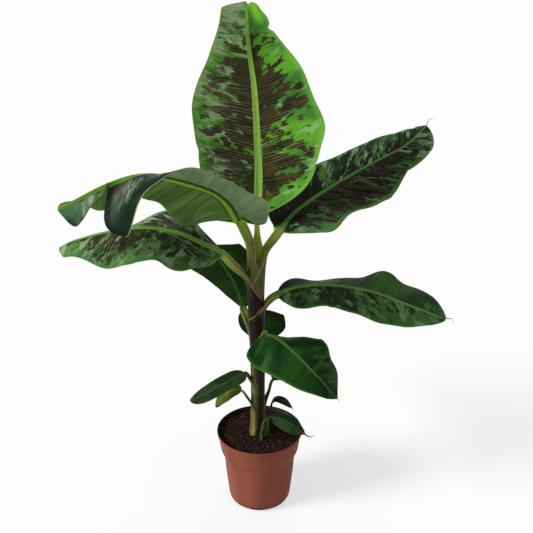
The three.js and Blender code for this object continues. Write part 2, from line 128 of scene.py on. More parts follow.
# Leaves, youngest first, by the same rule as the solids: a spine from inside the stem to the tip, the way the
# upper side faces at the foot and the tip, and for each half its widths and its lifts at even stations.
LEAVES = [
    {
        "name": "top_leaf",
        "spine": [[-1, 9, 560], [-3, 8, 627], [-3, 10, 668], [0, 16, 755], [-3, 24, 838], [-8, 30, 920],
                  [-19, 32, 1003], [-21, 22, 1072]],
        "stalk_radii": [6, 5],
        "face": [[0, -1, 0.1], [0.1, -1, 0.2]],
        "foot": [0.25, TAPERED],
        "tip": [0.02, ROUND],
        "sweep": 0.06,
        "left": {"widths": [100, 120, 118, 123, 124, 109, 80, 60, 50],
                 "lifts": [20, 20, 16, 16, 16, 16, 20, 25, 25]},
        "right": {"widths": [108, 118, 120, 133, 113, 95, 68, 45, 18],
                  "lifts": [20, 20, 15, 15, 15, 18, 20, 25, 25]},
    },
    {
        "name": "upper_right_leaf",
        "spine": [[6, 1, 560], [20, 7, 602], [42, 18, 635], [81, 42, 673], [153, 78, 714], [235, 116, 751],
                  [311, 146, 784], [356, 160, 823]],
        "stalk_radii": [8.5, 9],
        "face": [[-0.3, -0.8, 0.6], [-0.3, -0.8, 0.5]],
        "foot": [0.08, ROUND],
        "tip": [0.1, ROUND],
        "sweep": 0.05,
        "left": {"widths": [46, 62, 66, 66, 66, 57, 36, 10], "lifts": [20, 10, 0, -15, -20, -15, -10, -10]},
        "right": {"widths": [40, 92, 84, 94, 88, 60, 52, 38], "lifts": [20, 13, 12, 10, 10, 10, 10, 10]},
    },
    {
        "name": "arching_leaf",
        "spine": [[-10, -3, 560], [-21, -14, 627], [-38, -28, 675], [-75, -60, 736], [-130, -101, 770],
                  [-190, -142, 793], [-250, -176, 786], [-333, -206, 749]],
        "stalk_radii": [11, 10],
        "face": [[0.5, 0.6, 0.6], [-0.2, -0.1, 1]],
        "sweep": 0.05,
        # the front half is torn before the tip, so the blade is two stretches that share their back half
        "sections": [
            {
                "from": 0,
                "to": 0.77,
                "foot": [0.03, 0.4],
                "torn_bulge": 0.07,
                "left": {"widths": [78, 96, 84, 82, 88, 88, 90, 88, 96],
                         "lifts": [-6, 8, 4, 7, 13, 11, -2, -28, -108],
                         "curls": [0, 0, 0, 0, 0, 0, 0, 6, 46]},
                "right": {"widths": [76, 80, 86, 82, 66, 64, 64, 64, 60],
                          "lifts": [-18, -52, -58, -60, -48, -48, -50, -52, -52]},
            },
            {
                "from": 0.77,
                "to": 1,
                "tip": [0.05, ROUND],
                "left": {"widths": [14, 20, 34, 50], "lifts": [-60, -60, -60, -60]},
                "right": {"widths": [60, 46, 18, 12], "lifts": [-52, -54, -24, 20]},
            },
        ],
    },
    {
        "name": "left_leaf",
        "spine": [[-8, -4, 492], [-32, -15, 545], [-71, -35, 606], [-109, -60, 637], [-147, -80, 663],
                  [-201, -100, 682], [-269, -125, 683], [-330, -138, 670], [-360, -140, 656]],
        "stalk_radii": [12, 9],
        "face": [[0.3, -0.3, 1], [-0.1, -0.3, 1]],
        "foot": [0.2, TAPERED],
        "tip": [0.1, ROUND],
        "sweep": 0.05,
        "left": {"widths": [58, 66, 92, 86, 88, 86, 50, 26], "lifts": [-16, -10, -12, -9, -9, -14, -8, 0]},
        "right": {"widths": [42, 60, 77, 68, 54, 46, 40, 24], "lifts": [8, 7, -1, -22, -42, -95, -100, -95]},
    },
    {
        "name": "right_leaf",
        "spine": [[2, -2, 440], [18, -6, 487], [38, -12, 508], [78, -20, 529], [154, -35, 538],
                  [229, -50, 530], [306, -60, 503], [373, -70, 479]],
        "stalk_radii": [10, 8],
        "face": [[-0.2, -0.3, 1], [0.1, -0.3, 1]],
        "foot": [0.1, ROUND],
        "tip": [0.12, ROUND],
        "sweep": 0.05,
        "left": {"widths": [36, 66, 60, 68, 76, 65, 54, 30], "lifts": [0, -32, -25, -20, -2, -3, 7, 0]},
        "right": {"widths": [36, 56, 60, 66, 66, 57, 43, 16], "lifts": [-26, -10, -4, -10, -13, -13, -4, 0]},
    },
    {
        "name": "back_left_leaf",
        "spine": [[-8, 4, 375], [-22, 15, 425], [-33, 28, 455], [-56, 90, 491], [-98, 170, 522],
                  [-130, 240, 527], [-150, 310, 500]],
        "stalk_radii": [9, 8],
        "face": [[0, -0.4, 1], [0, 0.2, 1]],
        "foot": [0.14, TAPERED],
        "tip": [0.25, ROUND],
        "sweep": 0.05,
        "left": {"widths": [14, 40, 72, 78, 72, 40], "lifts": [5, 5, 0, -10, -10, -20]},
        "right": {"widths": [36, 52, 79, 84, 74, 40], "lifts": [0, 0, -1, -4, -8, -20]},
    },
    {
        "name": "back_leaf",
        "spine": [[2, 4, 335], [6, 26, 368], [6, 38, 378], [6, 90, 392], [6, 150, 392], [5, 205, 374]],
        "stalk_radii": [8, 6],
        "face": [[0, -0.4, 1], [0, 0.2, 1]],
        "foot": [0.25, ROUND],
        "tip": [0.4, ROUND],
        "sweep": 0.05,
        "left": {"widths": [40, 54, 53, 46], "lifts": [2, 0, -6, -8]},
        "right": {"widths": [52, 53, 50, 46], "lifts": [0, -5, -9, -8]},
    },
    {
        "name": "front_leaf",
        "spine": [[1, -8, 375], [8, -19, 412], [13, -27, 427], [44, -62, 428], [78, -90, 408],
                  [111, -109, 379], [157, -126, 331]],
        "stalk_radii": [8, 6],
        "face": [[-0.2, -0.35, 0.9], [0.3, -0.4, 0.8]],
        "foot": [0.08, ROUND],
        "tip": [0.1, ROUND],
        "sweep": 0.04,
        "left": {"widths": [28, 36, 54, 67, 61, 50, 14], "lifts": [-50, -38, -10, 3, -3, -6, -20]},
        "right": {"widths": [66, 76, 68, 57, 47, 30, 8], "lifts": [5, -12, -20, -15, -10, 0, 0]},
    },
    {
        "name": "low_left_leaf",
        "spine": [[-6, -2, 268], [-19, -10, 306], [-30, -20, 328], [-61, -45, 325], [-100, -70, 314],
                  [-142, -85, 299]],
        "stalk_radii": [6, 4],
        "face": [[0, -0.3, 1], [0, -0.3, 1]],
        "foot": [0.2, ROUND],
        "tip": [0.3, ROUND],
        "sweep": 0.05,
        "left": {"widths": [24, 19, 19, 18], "lifts": [-14, -6, -10, -8]},
        "right": {"widths": [22, 22, 19, 10], "lifts": [0, 0, 0, 0]},
    },
    {
        "name": "yellow_leaf",
        "spine": [[-10, -4, 205], [-22, -13, 253], [-38, -20, 285], [-58, -30, 290], [-79, -40, 278],
                  [-92, -50, 262]],
        "stalk_radii": [4, 2.5],
        "face": [[0, -0.3, 1], [0, -0.3, 1]],
        "foot": [0.2, ROUND],
        "tip": [0.6, ROUND],
        "sweep": 0.05,
        "left": {"widths": [10, 14, 10], "lifts": [-20, -20, -20]},
        "right": {"widths": [16, 14, 10], "lifts": [20, 10, 0]},
    },
    {
        "name": "low_back_leaf",
        "spine": [[4, 4, 195], [19, 15, 250], [30, 22, 288], [60, 45, 300], [100, 65, 295], [145, 85, 275]],
        "stalk_radii": [4, 3],
        "face": [[0, -0.3, 1], [0, -0.3, 1]],
        "foot": [0.2, ROUND],
        "tip": [0.4, ROUND],
        "sweep": 0.05,
        "left": {"widths": [20, 26, 26, 20], "lifts": [0, 0, 0, 0]},
        "right": {"widths": [20, 26, 26, 20], "lifts": [-10, -10, -10, -10]},
    },
    {
        "name": "sucker_upper_leaf",
        "spine": [[25, 14, 150], [26, 14, 209], [28, 11, 235], [37, 5, 249], [54, -4, 249], [72, -12, 236]],
        "stalk_radii": [3.5, 2.5],
        "face": [[0, -0.3, 1], [0, -0.3, 1]],
        "foot": [0.2, ROUND],
        "tip": [0.6, ROUND],
        "sweep": 0.05,
        "left": {"widths": [6, 9, 6], "lifts": [0, 0, 0]},
        "right": {"widths": [6, 9, 6], "lifts": [-20, -20, -20]},
    },
    {
        "name": "sucker_front_leaf",
        "spine": [[1, -30, 150], [8, -29, 204], [17, -28, 217], [29, -28, 223], [52, -40, 224],
                  [74, -48, 215], [98, -56, 199]],
        "blade_from": 3,
        "stalk_radii": [4, 2.5],
        "face": [[0, -0.3, 1], [0, -0.3, 1]],
        "foot": [0.2, ROUND],
        "tip": [0.5, ROUND],
        "sweep": 0.05,
        "left": {"widths": [12, 17, 12], "lifts": [10, 0, 0]},
        "right": {"widths": [16, 21, 13], "lifts": [-30, -30, -20]},
    },
    {
        "name": "sucker_low_leaf",
        "spine": [[17, -28, 217], [19, -33, 211], [18, -34, 205], [14, -36, 193], [9, -38, 179]],
        "stalk_radii": [2, 1.5],
        "face": [[0.3, -1, 0.2], [0.3, -1, 0.2]],
        "foot": [0.3, ROUND],
        "tip": [0.6, ROUND],
        "sweep": 0.05,
        "left": {"widths": [6, 9, 6], "lifts": [10, 10, 10]},
        "right": {"widths": [6, 9, 6], "lifts": [10, 10, 10]},
    },
]


def tone(red, green, blue):
    """A screen colour, 0 to 255, as the linear colour that a shader takes."""
    def linear(value):
        value /= 255
        return value / 12.92 if value <= 0.04045 else ((value + 0.055) / 1.055) ** 2.4
    return (linear(red), linear(green), linear(blue), 1.0)


# the haze is partly the blade's own pale mottling and partly a painted sheen
# How each leaf is coloured.
# green, deep, pale: the fresh and shaded greens of the upper side, and the haze on them
# pale_share, haze: how pale the haze is on the left and the right half, and how much noise it takes to show
# blotch, blotch_dark, left_blotch: the dark patches, and their tone on the left half, mixed in by left_dark
# patchy: how readily each half turns dark, from the blade's foot to its tip
# inward: how much more readily it does so beside the midrib than at the margin
# grain, clusters: how fine the patches and the haze are across the blade and along it
# margin, rim, hem: the band inside the margin, its share on the left and the right half, and the very edge
# rib, rib_width: the midrib, and its width at its foot as a share of the stalk's
# slant, line, veins: the lean of the side veins, and how they show on the dark patches and on the green
# deepen: how much of the outer part turns deep
# faded: the worn and bleached marks, and the painted sheen on some blades
# under, under_deep, under_haze: the underside, and how pale its left half is
# gloss: the specular level
FRESH = {
    "green": tone(50, 118, 36), "deep": tone(26, 74, 32), "pale": tone(120, 158, 104),
    "pale_share": (0.3, 0.3), "haze": (0.61, 0.61),
    "blotch": tone(58, 38, 18), "blotch_dark": tone(34, 32, 20),
    "left_blotch": tone(34, 32, 20), "left_dark": 0.0,
    "patchy": {"left": [-0.3, -0.3], "right": [-0.3, -0.3]}, "inward": 0.06,
    "grain": (30, 62), "clusters": (16, 30),
    "margin": tone(78, 150, 40), "rim": (0.5, 0.5), "hem": tone(110, 150, 70),
    "rib": tone(130, 178, 80), "rib_width": 0.66,
    "slant": 0.3, "line": 0.12, "veins": 0.3, "deepen": 0.0,
    "faded_and_sheen": tone(168, 176, 132),
    "under": tone(84, 108, 56), "under_deep": tone(46, 66, 32), "under_haze": 0.0,
    "gloss": 0.06,
}
TONES = {
    "top_leaf": {
        **FRESH, "green": tone(94, 162, 44), "deep": tone(58, 116, 46), "pale": tone(178, 208, 158),
        "pale_share": (1.0, 0.5), "haze": (0.49, 0.6), "blotch": tone(66, 50, 24),
        "left_blotch": tone(62, 58, 36), "left_dark": 0.75,
        "patchy": {"left": [-0.03, 0.02, 0.05, 0.07, 0.06, 0.05, 0.03, -0.11, -0.3],
                   "right": [-0.05, 0.02, 0.07, 0.01, 0.05, 0.04, 0.0, -0.08, -0.3]},
        "inward": 0.08, "clusters": (22, 46), "margin": tone(128, 192, 70), "rim": (0.3, 0.4),
        "rib": tone(154, 204, 88), "rib_width": 1.9, "slant": 0.14, "line": 0.15,
    },
    "upper_right_leaf": {
        **FRESH, "green": tone(76, 114, 64), "deep": tone(28, 56, 28), "pale": tone(138, 168, 124),
        "pale_share": (0.95, 0.8), "haze": (0.54, 0.56), "blotch": tone(54, 38, 36),
        "blotch_dark": tone(22, 24, 18), "left_blotch": tone(22, 26, 20), "left_dark": 0.7,
        "patchy": {"left": [0.16, 0.13, 0.03, 0.0, 0.01, 0.0, 0.02],
                   "right": [0.12, 0.06, 0.04, 0.1, 0.05, 0.01, 0.03]},
        "grain": (44, 66), "clusters": (30, 56), "margin": tone(74, 124, 46), "rim": (0.12, 0.65),
        "hem": tone(66, 106, 48), "rib": tone(82, 140, 62), "rib_width": 0.5, "slant": 0.6, "line": 0.16,
    },
    "arching_leaf": {
        **FRESH, "green": tone(88, 128, 90), "deep": tone(12, 34, 20), "pale": tone(190, 204, 180),
        "pale_share": (0.9, 0.6), "blotch": tone(88, 80, 74), "blotch_dark": tone(40, 38, 34),
        "left_blotch": tone(50, 50, 44), "left_dark": 0.4,
        "patchy": {"left": [-0.3, -0.3, -0.3, -0.2, -0.02, 0.03, 0.0, -0.2, -0.2],
                   "right": [-0.3, -0.3, -0.3, -0.3, -0.3, -0.2, -0.2]},
        "inward": 0.2, "margin": tone(16, 42, 26), "hem": tone(150, 160, 104), "rib": tone(112, 164, 40),
        "rib_width": 1.3, "line": 0.06, "deepen": 0.95, "faded_and_sheen": tone(168, 188, 164),
        "under": tone(112, 146, 74), "under_deep": tone(52, 80, 38), "under_haze": 0.2,
    },
    "left_leaf": {
        **FRESH, "green": tone(94, 140, 74), "deep": tone(52, 96, 44), "pale": tone(168, 192, 148),
        "pale_share": (0.8, 0.95), "haze": (0.54, 0.48), "blotch": tone(62, 50, 40),
        "blotch_dark": tone(34, 34, 24), "left_blotch": tone(44, 42, 30), "left_dark": 0.3,
        "patchy": {"left": [-0.1, -0.05, -0.01, -0.01, 0.0, 0.04, 0.02, -0.06],
                   "right": [-0.04, -0.02, 0.0, 0.0, -0.04, -0.06, -0.08]},
        "inward": 0.07, "grain": (46, 60), "clusters": (24, 40), "margin": tone(62, 118, 52),
        "hem": tone(100, 146, 78), "rib": tone(128, 184, 76), "rib_width": 0.95, "slant": 0.5,
    },
    "right_leaf": {
        **FRESH, "green": tone(56, 98, 43), "deep": tone(34, 64, 29), "pale": tone(124, 162, 108),
        "pale_share": (0.3, 0.7), "haze": (0.6, 0.55), "blotch": tone(40, 42, 28),
        "blotch_dark": tone(28, 36, 22), "left_blotch": tone(30, 40, 22),
        "patchy": {"left": [-0.06, -0.1, -0.2, -0.3],
                   "right": [-0.04, 0.02, 0.02, 0.03, 0.0, -0.03, -0.07, -0.15]},
        "inward": 0.03, "grain": (54, 60), "clusters": (26, 42), "margin": tone(44, 98, 40),
        "hem": tone(80, 126, 58), "rib": tone(100, 156, 62), "line": 0.1,
    },
    "back_left_leaf": {
        **FRESH, "green": tone(36, 60, 26), "deep": tone(22, 40, 16), "pale": tone(48, 76, 36),
        "margin": tone(24, 58, 20), "hem": tone(38, 76, 32), "rib": tone(44, 88, 34), "rib_width": 0.5,
        "gloss": 0.0,
    },
    "back_leaf": {
        **FRESH, "green": tone(36, 58, 28), "deep": tone(26, 42, 20), "pale": tone(44, 66, 36),
        "margin": tone(22, 48, 18), "hem": tone(32, 62, 28), "rib": tone(38, 76, 28), "gloss": 0.0,
    },
    "front_leaf": {
        **FRESH, "green": tone(33, 74, 24), "deep": tone(20, 50, 19), "pale": tone(84, 124, 64),
        "pale_share": (0.7, 0.45), "haze": (0.54, 0.56), "margin": tone(66, 114, 46),
        "hem": tone(86, 130, 60), "rib": tone(78, 124, 54), "slant": 0.4, "line": 0.1, "veins": 0.75,
        "faded_and_sheen": tone(76, 106, 66),
    },
    "yellow_leaf": {
        **FRESH, "green": tone(110, 122, 46), "deep": tone(82, 102, 38), "pale": tone(150, 150, 72),
        "blotch": tone(140, 96, 42), "blotch_dark": tone(104, 70, 32),
        "patchy": {"left": [-0.2, -0.15, -0.04],
                   "right": [-0.2, -0.15, -0.04]},
        "margin": tone(128, 96, 40), "hem": tone(110, 74, 34), "rib": tone(140, 150, 60),
        "under": tone(128, 134, 50), "under_deep": tone(96, 100, 40),
    },
}
YOUNG = {**FRESH, "green": tone(46, 70, 35), "deep": tone(32, 52, 26), "pale": tone(74, 98, 60),
         "rib": tone(60, 92, 44), "margin": tone(42, 70, 32), "hem": tone(58, 88, 44)}

# Small cuts (deep above 0) and swellings (deep below 0) of a blade's margin that are too fine for the rule:
# side (-1 is left, 1 is right), station, reach along the blade as a share, and depth in millimetres
NICKS = {
    "top_leaf": [(1, 0.862, 0.014, 6), (1, 0.915, 0.03, -4), (-1, 0.30, 0.02, 2), (1, 0.22, 0.02, 3)],
    "upper_right_leaf": [(-1, 0.93, 0.02, 3), (1, 0.52, 0.03, -3), (1, 0.72, 0.02, 2)],
    "left_leaf": [(-1, 0.60, 0.03, -2), (-1, 0.2, 0.02, 2), (-1, 0.965, 0.035, -8), (1, 0.97, 0.035, -8)],
    "right_leaf": [(-1, 0.33, 0.02, 2), (-1, 0.62, 0.03, -2), (1, 0.3, 0.02, -2)],
    "front_leaf": [(-1, 0.45, 0.03, -3)],
}
# A small cut into a blade's tip beside its midrib: depth, half width and distance from the midrib
TIP_CUTS = {"top_leaf": (9, 3, 3)}

# Where the dry brown end of a blade begins
DRY_FROM = {"yellow_leaf": 0.92, "low_left_leaf": 0.93, "sucker_front_leaf": 0.88}

# Marks on the blades: side, station, share of the half width, and size. dry is brown, bright is where light
# shines through, faded is partly bleached and partly a painted sheen, scratched has thin slanting scuffs, and
# veined is where the side veins show pale.
MARKS = {
    "dry": {
        "right_leaf": [(1, 0.1, 0.32, 3.6), (1, 0.13, 0.7, 3.0), (1, 0.33, 0.34, 3.0)],
    },
    "bright": {
        "top_leaf": [(1, 0.955, 0.62, 17), (1, 0.985, 0.2, 10)],
        "left_leaf": [(-1, 0.99, 0.5, 4), (1, 0.99, 0.5, 3)],
    },
    "faded_and_sheen": {
        "top_leaf": [(-1, 0.93, 0.6, 26), (-1, 0.74, 0.85, 22), (-1, 0.56, 0.8, 24), (-1, 0.2, 0.7, 22)],
        "left_leaf": [(-1, 0.73, 0.25, 11), (-1, 0.82, 0.35, 9)],
        "arching_leaf": [(-1, 0.5, 0.3, 26), (-1, 0.66, 0.4, 16)],
        "front_leaf": [(-1, 0.62, 0.5, 12), (-1, 0.5, 0.7, 10)],
    },
    "scratched": {
        "top_leaf": [(-1, 0.95, 0.55, 20), (-1, 0.87, 0.6, 14)],
    },
    "veined": {
        "top_leaf": [(-1, 0.45, 0.3, 60), (1, 0.35, 0.3, 30)],
        "left_leaf": [(-1, 0.42, 0.2, 46), (-1, 0.7, 0.3, 26), (1, 0.4, 0.4, 26)],
        "upper_right_leaf": [(1, 0.3, 0.5, 50), (1, 0.5, 0.3, 30)],
        "right_leaf": [(1, 0.25, 0.2, 40)],
    },
}

# Creases: side, the station and share of the half width where each begins and ends, and its width
CREASES = {
    "top_leaf": [(-1, 0.985, 0.75, 0.9, 0.25, 1.4), (-1, 0.92, 0.8, 0.875, 0.45, 1.3)],
    "upper_right_leaf": [(1, 0.44, 0.16, 0.54, 0.28, 0.7), (1, 0.54, 0.28, 0.57, 0.42, 1.0)],
    "left_leaf": [(-1, 0.42, 0.08, 0.12, 0.5, 1.4), (-1, 0.3, 0.3, 0.2, 0.62, 1.2)],
    "front_leaf": [(1, 0.06, 0.4, 0.2, 0.62, 0.6), (1, 0.2, 0.62, 0.26, 0.84, 0.5)],
}

# A blade that is all one section
WHOLE = {"from": 0, "to": 1}
LARGE_BLADE = 150
BLADE_COLUMNS = 84
LEAST_ROWS = 24
# The share of a half's columns that lie on and beside the midrib, out to RIB_REACH times its half width, and
# how far the midrib stands out, as shares of its half width
RIB_COLUMNS = 0.2
RIB_REACH = 1.4
RIB_BELOW = 0.95
RIB_ABOVE = 0.12
# The waves of the margins and the fine pleats between the veins
RIPPLE_LENGTH = 11.5
WAVE_LENGTH = 27.0
PLEAT_LENGTH = 3.4
PLEAT_HEIGHT = 0.35
# Points of two stretches of a torn blade that are nearer than this become one
SEWN_GAP = 0.4
# The blade length and half width in which the sizes of marks are measured
MARK_LENGTH = 330
MARK_HALF = 60


# The rule of the leaves
def tones_of(leaf):
    return TONES.get(leaf["name"], YOUNG)


def share_of(section, s):
    """How far a station lies along its section of the blade."""
    return (s - section["from"]) / (section["to"] - section["from"])


def unit(vectors):
    return vectors / np.maximum(np.linalg.norm(vectors, axis=-1, keepdims=True), 1e-9)


def curve_step(a, b, c, d, t):
    """A smooth step from b to c with a and d as its neighbours."""
    enter, leave = (c - a) / 2, (d - b) / 2
    return ((2 * t**3 - 3 * t**2 + 1) * b + (t**3 - 2 * t**2 + t) * enter
            + (3 * t**2 - 2 * t**3) * c + (t**3 - t**2) * leave)


def extended(values):
    values = np.array(values, float)
    return np.concatenate([[2 * values[0] - values[1]], values, [2 * values[-1] - values[-2]]])


def smooth_read(values, share):
    """A list of numbers read smoothly at shares of its length."""
    at = np.clip(share, 0, 1) * (len(values) - 1)
    i = np.minimum(at.astype(int), len(values) - 2)
    padded = extended(values)
    return curve_step(padded[i], padded[i + 1], padded[i + 2], padded[i + 3], at - i)


def end_share(s, foot, tip):
    """Share of the full width that the rounded foot and tip leave."""
    share = np.ones_like(s)
    if foot:
        near = np.clip(1 - (1 - s / foot[0]) ** 2, 0, 1) ** foot[1]
        share = np.where(s < foot[0], near, share)
    if tip:
        near = np.clip(1 - ((s - 1 + tip[0]) / tip[0]) ** 2, 0, 1) ** tip[1]
        share = np.where(s > 1 - tip[0], share * near, share)
    return share


class Spine:
    """The line that a leaf is built on, with its direction and its upper side at any length."""

    def __init__(self, leaf):
        padded = extended(leaf["spine"])
        t = np.linspace(0, 1, SPAN_STEPS, endpoint=False)[:, None]
        spans = [curve_step(*padded[i:i + 4], t) for i in range(len(padded) - 3)]
        self.line = np.vstack(spans + [padded[-2:-1]])
        steps = np.linalg.norm(np.diff(self.line, axis=0), axis=1)
        self.lengths = np.concatenate([[0], np.cumsum(steps)])
        self.total = self.lengths[-1]
        self.start = self.lengths[leaf.get("blade_from", 2) * SPAN_STEPS]
        self.blade = self.total - self.start
        self.faces = unit(np.array(leaf["face"], float))

    def point(self, length):
        length = np.clip(length, 0, self.total)
        return np.stack([np.interp(length, self.lengths, self.line[:, k]) for k in range(3)], -1)

    def at(self, length):
        along = unit(self.point(length + 3) - self.point(length - 3))
        share = np.clip((length - self.start) / self.blade, 0, 1)[:, None]
        up = self.faces[0] + (self.faces[1] - self.faces[0]) * share
        up = unit(up - along * np.sum(up * along, -1, keepdims=True))
        return self.point(length), along, up, np.cross(along, up)


def half_width(section, s, side):
    share = share_of(section, s)
    ends = end_share(s, section.get("foot"), section.get("tip"))
    widths = np.where(side < 0, smooth_read(section["left"]["widths"], share),
                      smooth_read(section["right"]["widths"], share))
    return np.maximum(widths * ends, LEAST_HALF)


def half_angle(section, s, side, t):
    share = share_of(section, s)
    angles = []
    for half in (section["left"], section["right"]):
        curls = smooth_read(half["curls"], share) if "curls" in half else 0
        angles.append(smooth_read(half["lifts"], share) + curls * t / 2)
    return np.radians(np.where(side < 0, angles[0], angles[1]))


def blade_points(leaf, section, spine, s, side, t):
    """Places on a blade at stations s and shares t of its half width, and the spine's frame there."""
    share = np.clip(share_of(section, s), 0, 1)
    torn = np.where(side < 0, section.get("torn_bulge", 0) * share**6, 0)
    swept = s + leaf["sweep"] * t * 4 * s * (1 - s) + torn * 6.75 * t**2 * (1 - t)
    point, along, up, right = spine.at(spine.start + swept * spine.blade)
    reach = half_width(section, s, side) * t
    angle = half_angle(section, s, side, t)
    flat = right * (side * reach * np.cos(angle))[:, None]
    return point + flat + up * (reach * np.sin(angle))[:, None], along, up, right


# Making meshes
def alone():
    bpy.ops.object.select_all(action="DESELECT")


def choose(piece):
    alone()
    piece.select_set(True)
    bpy.context.view_layer.objects.active = piece


def read(items, key, width=1, kind=float):
    """One value, or width values in a row, for each of a mesh's vertices, corners and the like."""
    values = np.zeros(len(items) * width, kind)
    items.foreach_get(key, values)
    return values.reshape(-1, width) if width > 1 else values


def write_attribute(mesh, key, values):
    """Keeps a number or a colour for each vertex."""
    if values.ndim == 1:
        mesh.attributes.new(key, "FLOAT", "POINT").data.foreach_set("value", values)
    else:
        mesh.attributes.new(key, "FLOAT_COLOR", "POINT").data.foreach_set("color", values.ravel())


def shaped_grid(name, columns, rows, place):
    """A grid primitive whose points are moved to place(u, v), which also gives its map and its attributes."""
    alone()
    bpy.ops.mesh.primitive_grid_add(x_subdivisions=columns, y_subdivisions=rows, size=1, location=(0, 0, 0))
    piece = bpy.context.object
    piece.name = name
    mesh = piece.data
    mesh.name = name
    flat = read(mesh.vertices, "co", 3)
    points, uv, attributes = place(flat[:, 0] + 0.5, flat[:, 1] + 0.5)
    mesh.vertices.foreach_set("co", (points * MM).ravel())
    corners = read(mesh.loops, "vertex_index", kind=int)
    mesh.uv_layers.active.data.foreach_set("uv", (uv * MM)[corners].ravel())
    for key, values in attributes.items():
        write_attribute(mesh, key, values)
    mesh.update()
    return piece


def merge(piece, distance, closed=True):
    """Merges the points that meet, and turns every face of a closed piece outwards."""
    choose(piece)
    bpy.ops.object.mode_set(mode="EDIT")
    bpy.ops.mesh.select_all(action="SELECT")
    bpy.ops.mesh.remove_doubles(threshold=distance * MM)
    if closed:
        bpy.ops.mesh.normals_make_consistent(inside=False)
    bpy.ops.object.mode_set(mode="OBJECT")


def join(pieces, name):
    alone()
    for piece in pieces:
        piece.select_set(True)
    bpy.context.view_layer.objects.active = pieces[0]
    if len(pieces) > 1:
        bpy.ops.object.join()
    pieces[0].name = name
    pieces[0].data.name = name
    return pieces[0]


def smooth(piece, angle):
    choose(piece)
    bpy.ops.object.shade_smooth_by_angle(angle=math.radians(angle))


def settle(piece, slot, *nodes):
    """A finished piece rides on the plant and stands for the nodes given. The slot is not used."""
    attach(piece, "root")
    if nodes:
        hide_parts(*nodes)


def rough(points, scale, seed):
    """Smooth noise from -1 to 1 at points in millimetres, with features about scale wide."""
    shift = Vector((seed * 17.3, seed * 5.1, seed * 9.7))
    return np.array([noise.noise(Vector(p) / scale + shift) for p in points])


# Making materials
class Finish:
    """A node material, wired up node by node."""

    def __init__(self, name, roughness=0.5, specular=0.3):
        self.material = bpy.data.materials.new(name)
        self.material.use_nodes = True
        self.tree = self.material.node_tree
        self.shader = self.tree.nodes["Principled BSDF"]
        self.shader.inputs["Roughness"].default_value = roughness
        self.shader.inputs["Specular IOR Level"].default_value = specular

    def add(self, kind, inputs=None, output=0, **settings):
        node = self.tree.nodes.new(kind)
        for key, value in settings.items():
            setattr(node, key, value)
        for key, value in (inputs or {}).items():
            self.put(node.inputs[key], value)
        return node.outputs[output]

    def put(self, socket, value):
        if isinstance(value, bpy.types.NodeSocket):
            self.tree.links.new(value, socket)
        else:
            socket.default_value = value

    def maths(self, operation, a, b=0.0, c=0.0):
        return self.add("ShaderNodeMath", {0: a, 1: b, 2: c}, operation=operation)

    def times(self, a, b):
        return self.maths("MULTIPLY", a, b)

    def plus(self, a, b):
        return self.maths("ADD", a, b)

    def ramp(self, value, low, high, start=0.0, end=1.0):
        """value eased from start to end as it goes from low to high."""
        ins = {0: value, 1: low, 2: high, 3: start, 4: end}
        return self.add("ShaderNodeMapRange", ins, interpolation_type="SMOOTHSTEP")

    def mix(self, share, a, b, blend="MIX"):
        return self.add("ShaderNodeMix", {0: share, 6: a, 7: b}, 2, data_type="RGBA", blend_type=blend)

    def vector(self, x, y, z=0.0):
        return self.add("ShaderNodeCombineXYZ", {0: x, 1: y, 2: z})

    def noise(self, vector, scale, detail=3.0, roughness=0.5, distortion=0.0):
        ins = {"Vector": vector, "Scale": scale, "Detail": detail, "Roughness": roughness,
               "Distortion": distortion}
        return self.add("ShaderNodeTexNoise", ins)

    def drawn_out(self, across, along, scales, depth=0.0, detail=3.0, roughness=0.5):
        """Noise drawn out along one axis of a map: scales are how fine it is across and along."""
        place = self.vector(self.times(across, scales[0]), self.times(along, scales[1]), depth)
        return self.noise(place, 1.0, detail, roughness)

    def attribute(self, name, output=2):
        return self.add("ShaderNodeAttribute", output=output, attribute_name=name)

    def place(self):
        return self.add("ShaderNodeTexCoord", output=3)

    def split(self, vector):
        node = self.tree.nodes.new("ShaderNodeSeparateXYZ")
        self.put(node.inputs[0], vector)
        return node.outputs

    def map_axes(self):
        """The two axes of the piece's own map, in metres."""
        axes = self.split(self.add("ShaderNodeTexCoord", output=2))
        return axes[0], axes[1]

    def bump(self, height, strength, distance=0.001):
        normal = self.add("ShaderNodeBump", {"Height": height, "Strength": strength, "Distance": distance})
        self.put(self.shader.inputs["Normal"], normal)

    def done(self, colour, roughness=None):
        self.put(self.shader.inputs["Base Color"], colour)
        if roughness is not None:
            self.put(self.shader.inputs["Roughness"], roughness)
        return self.material


def scaled(colour, factor):
    return tuple(min(factor * c, 1.0) for c in colour[:3]) + (1.0,)


# Where the hem begins and is full, as shares of a blade's half width, the range in which a blade turns dry,
# and the strength and height in metres of the relief of veins and fibres
HEM = (0.982, 0.995)
DRY = (0.4, 0.7)
RELIEF = (0.4, 0.0014)


def vein_axes(f, slant):
    """The distance from the midrib, the length where a vein leaves it, and the side, from the blade's map."""
    across, along = f.map_axes()
    reach = f.maths("ABSOLUTE", across)
    return reach, f.maths("SUBTRACT", along, f.times(reach, slant)), f.maths("SIGN", across)


def vein_lines(f, reach, vein, spacing, sharpness):
    """Thin lines, 0 to 1, that run along the side veins, some fainter than others."""
    drift = f.drawn_out(reach, vein, (9.0, 45.0))
    turns = f.maths("MULTIPLY_ADD", vein, 2 * math.pi / spacing, f.times(drift, 14.0))
    wave = f.maths("MULTIPLY_ADD", f.maths("SINE", turns), 0.5, 0.5)
    strength = f.drawn_out(reach, vein, (14.0, 120.0), 9.0, 2.0)
    return f.times(f.maths("POWER", wave, sharpness), f.ramp(strength, 0.36, 0.6))


def dried(f, colour, jags, dry_tone):
    """The blade's dry brown end and spots, with a ragged edge."""
    return f.mix(f.ramp(f.maths("MULTIPLY_ADD", jags, 0.5, f.attribute("dry")), *DRY), colour, dry_tone)


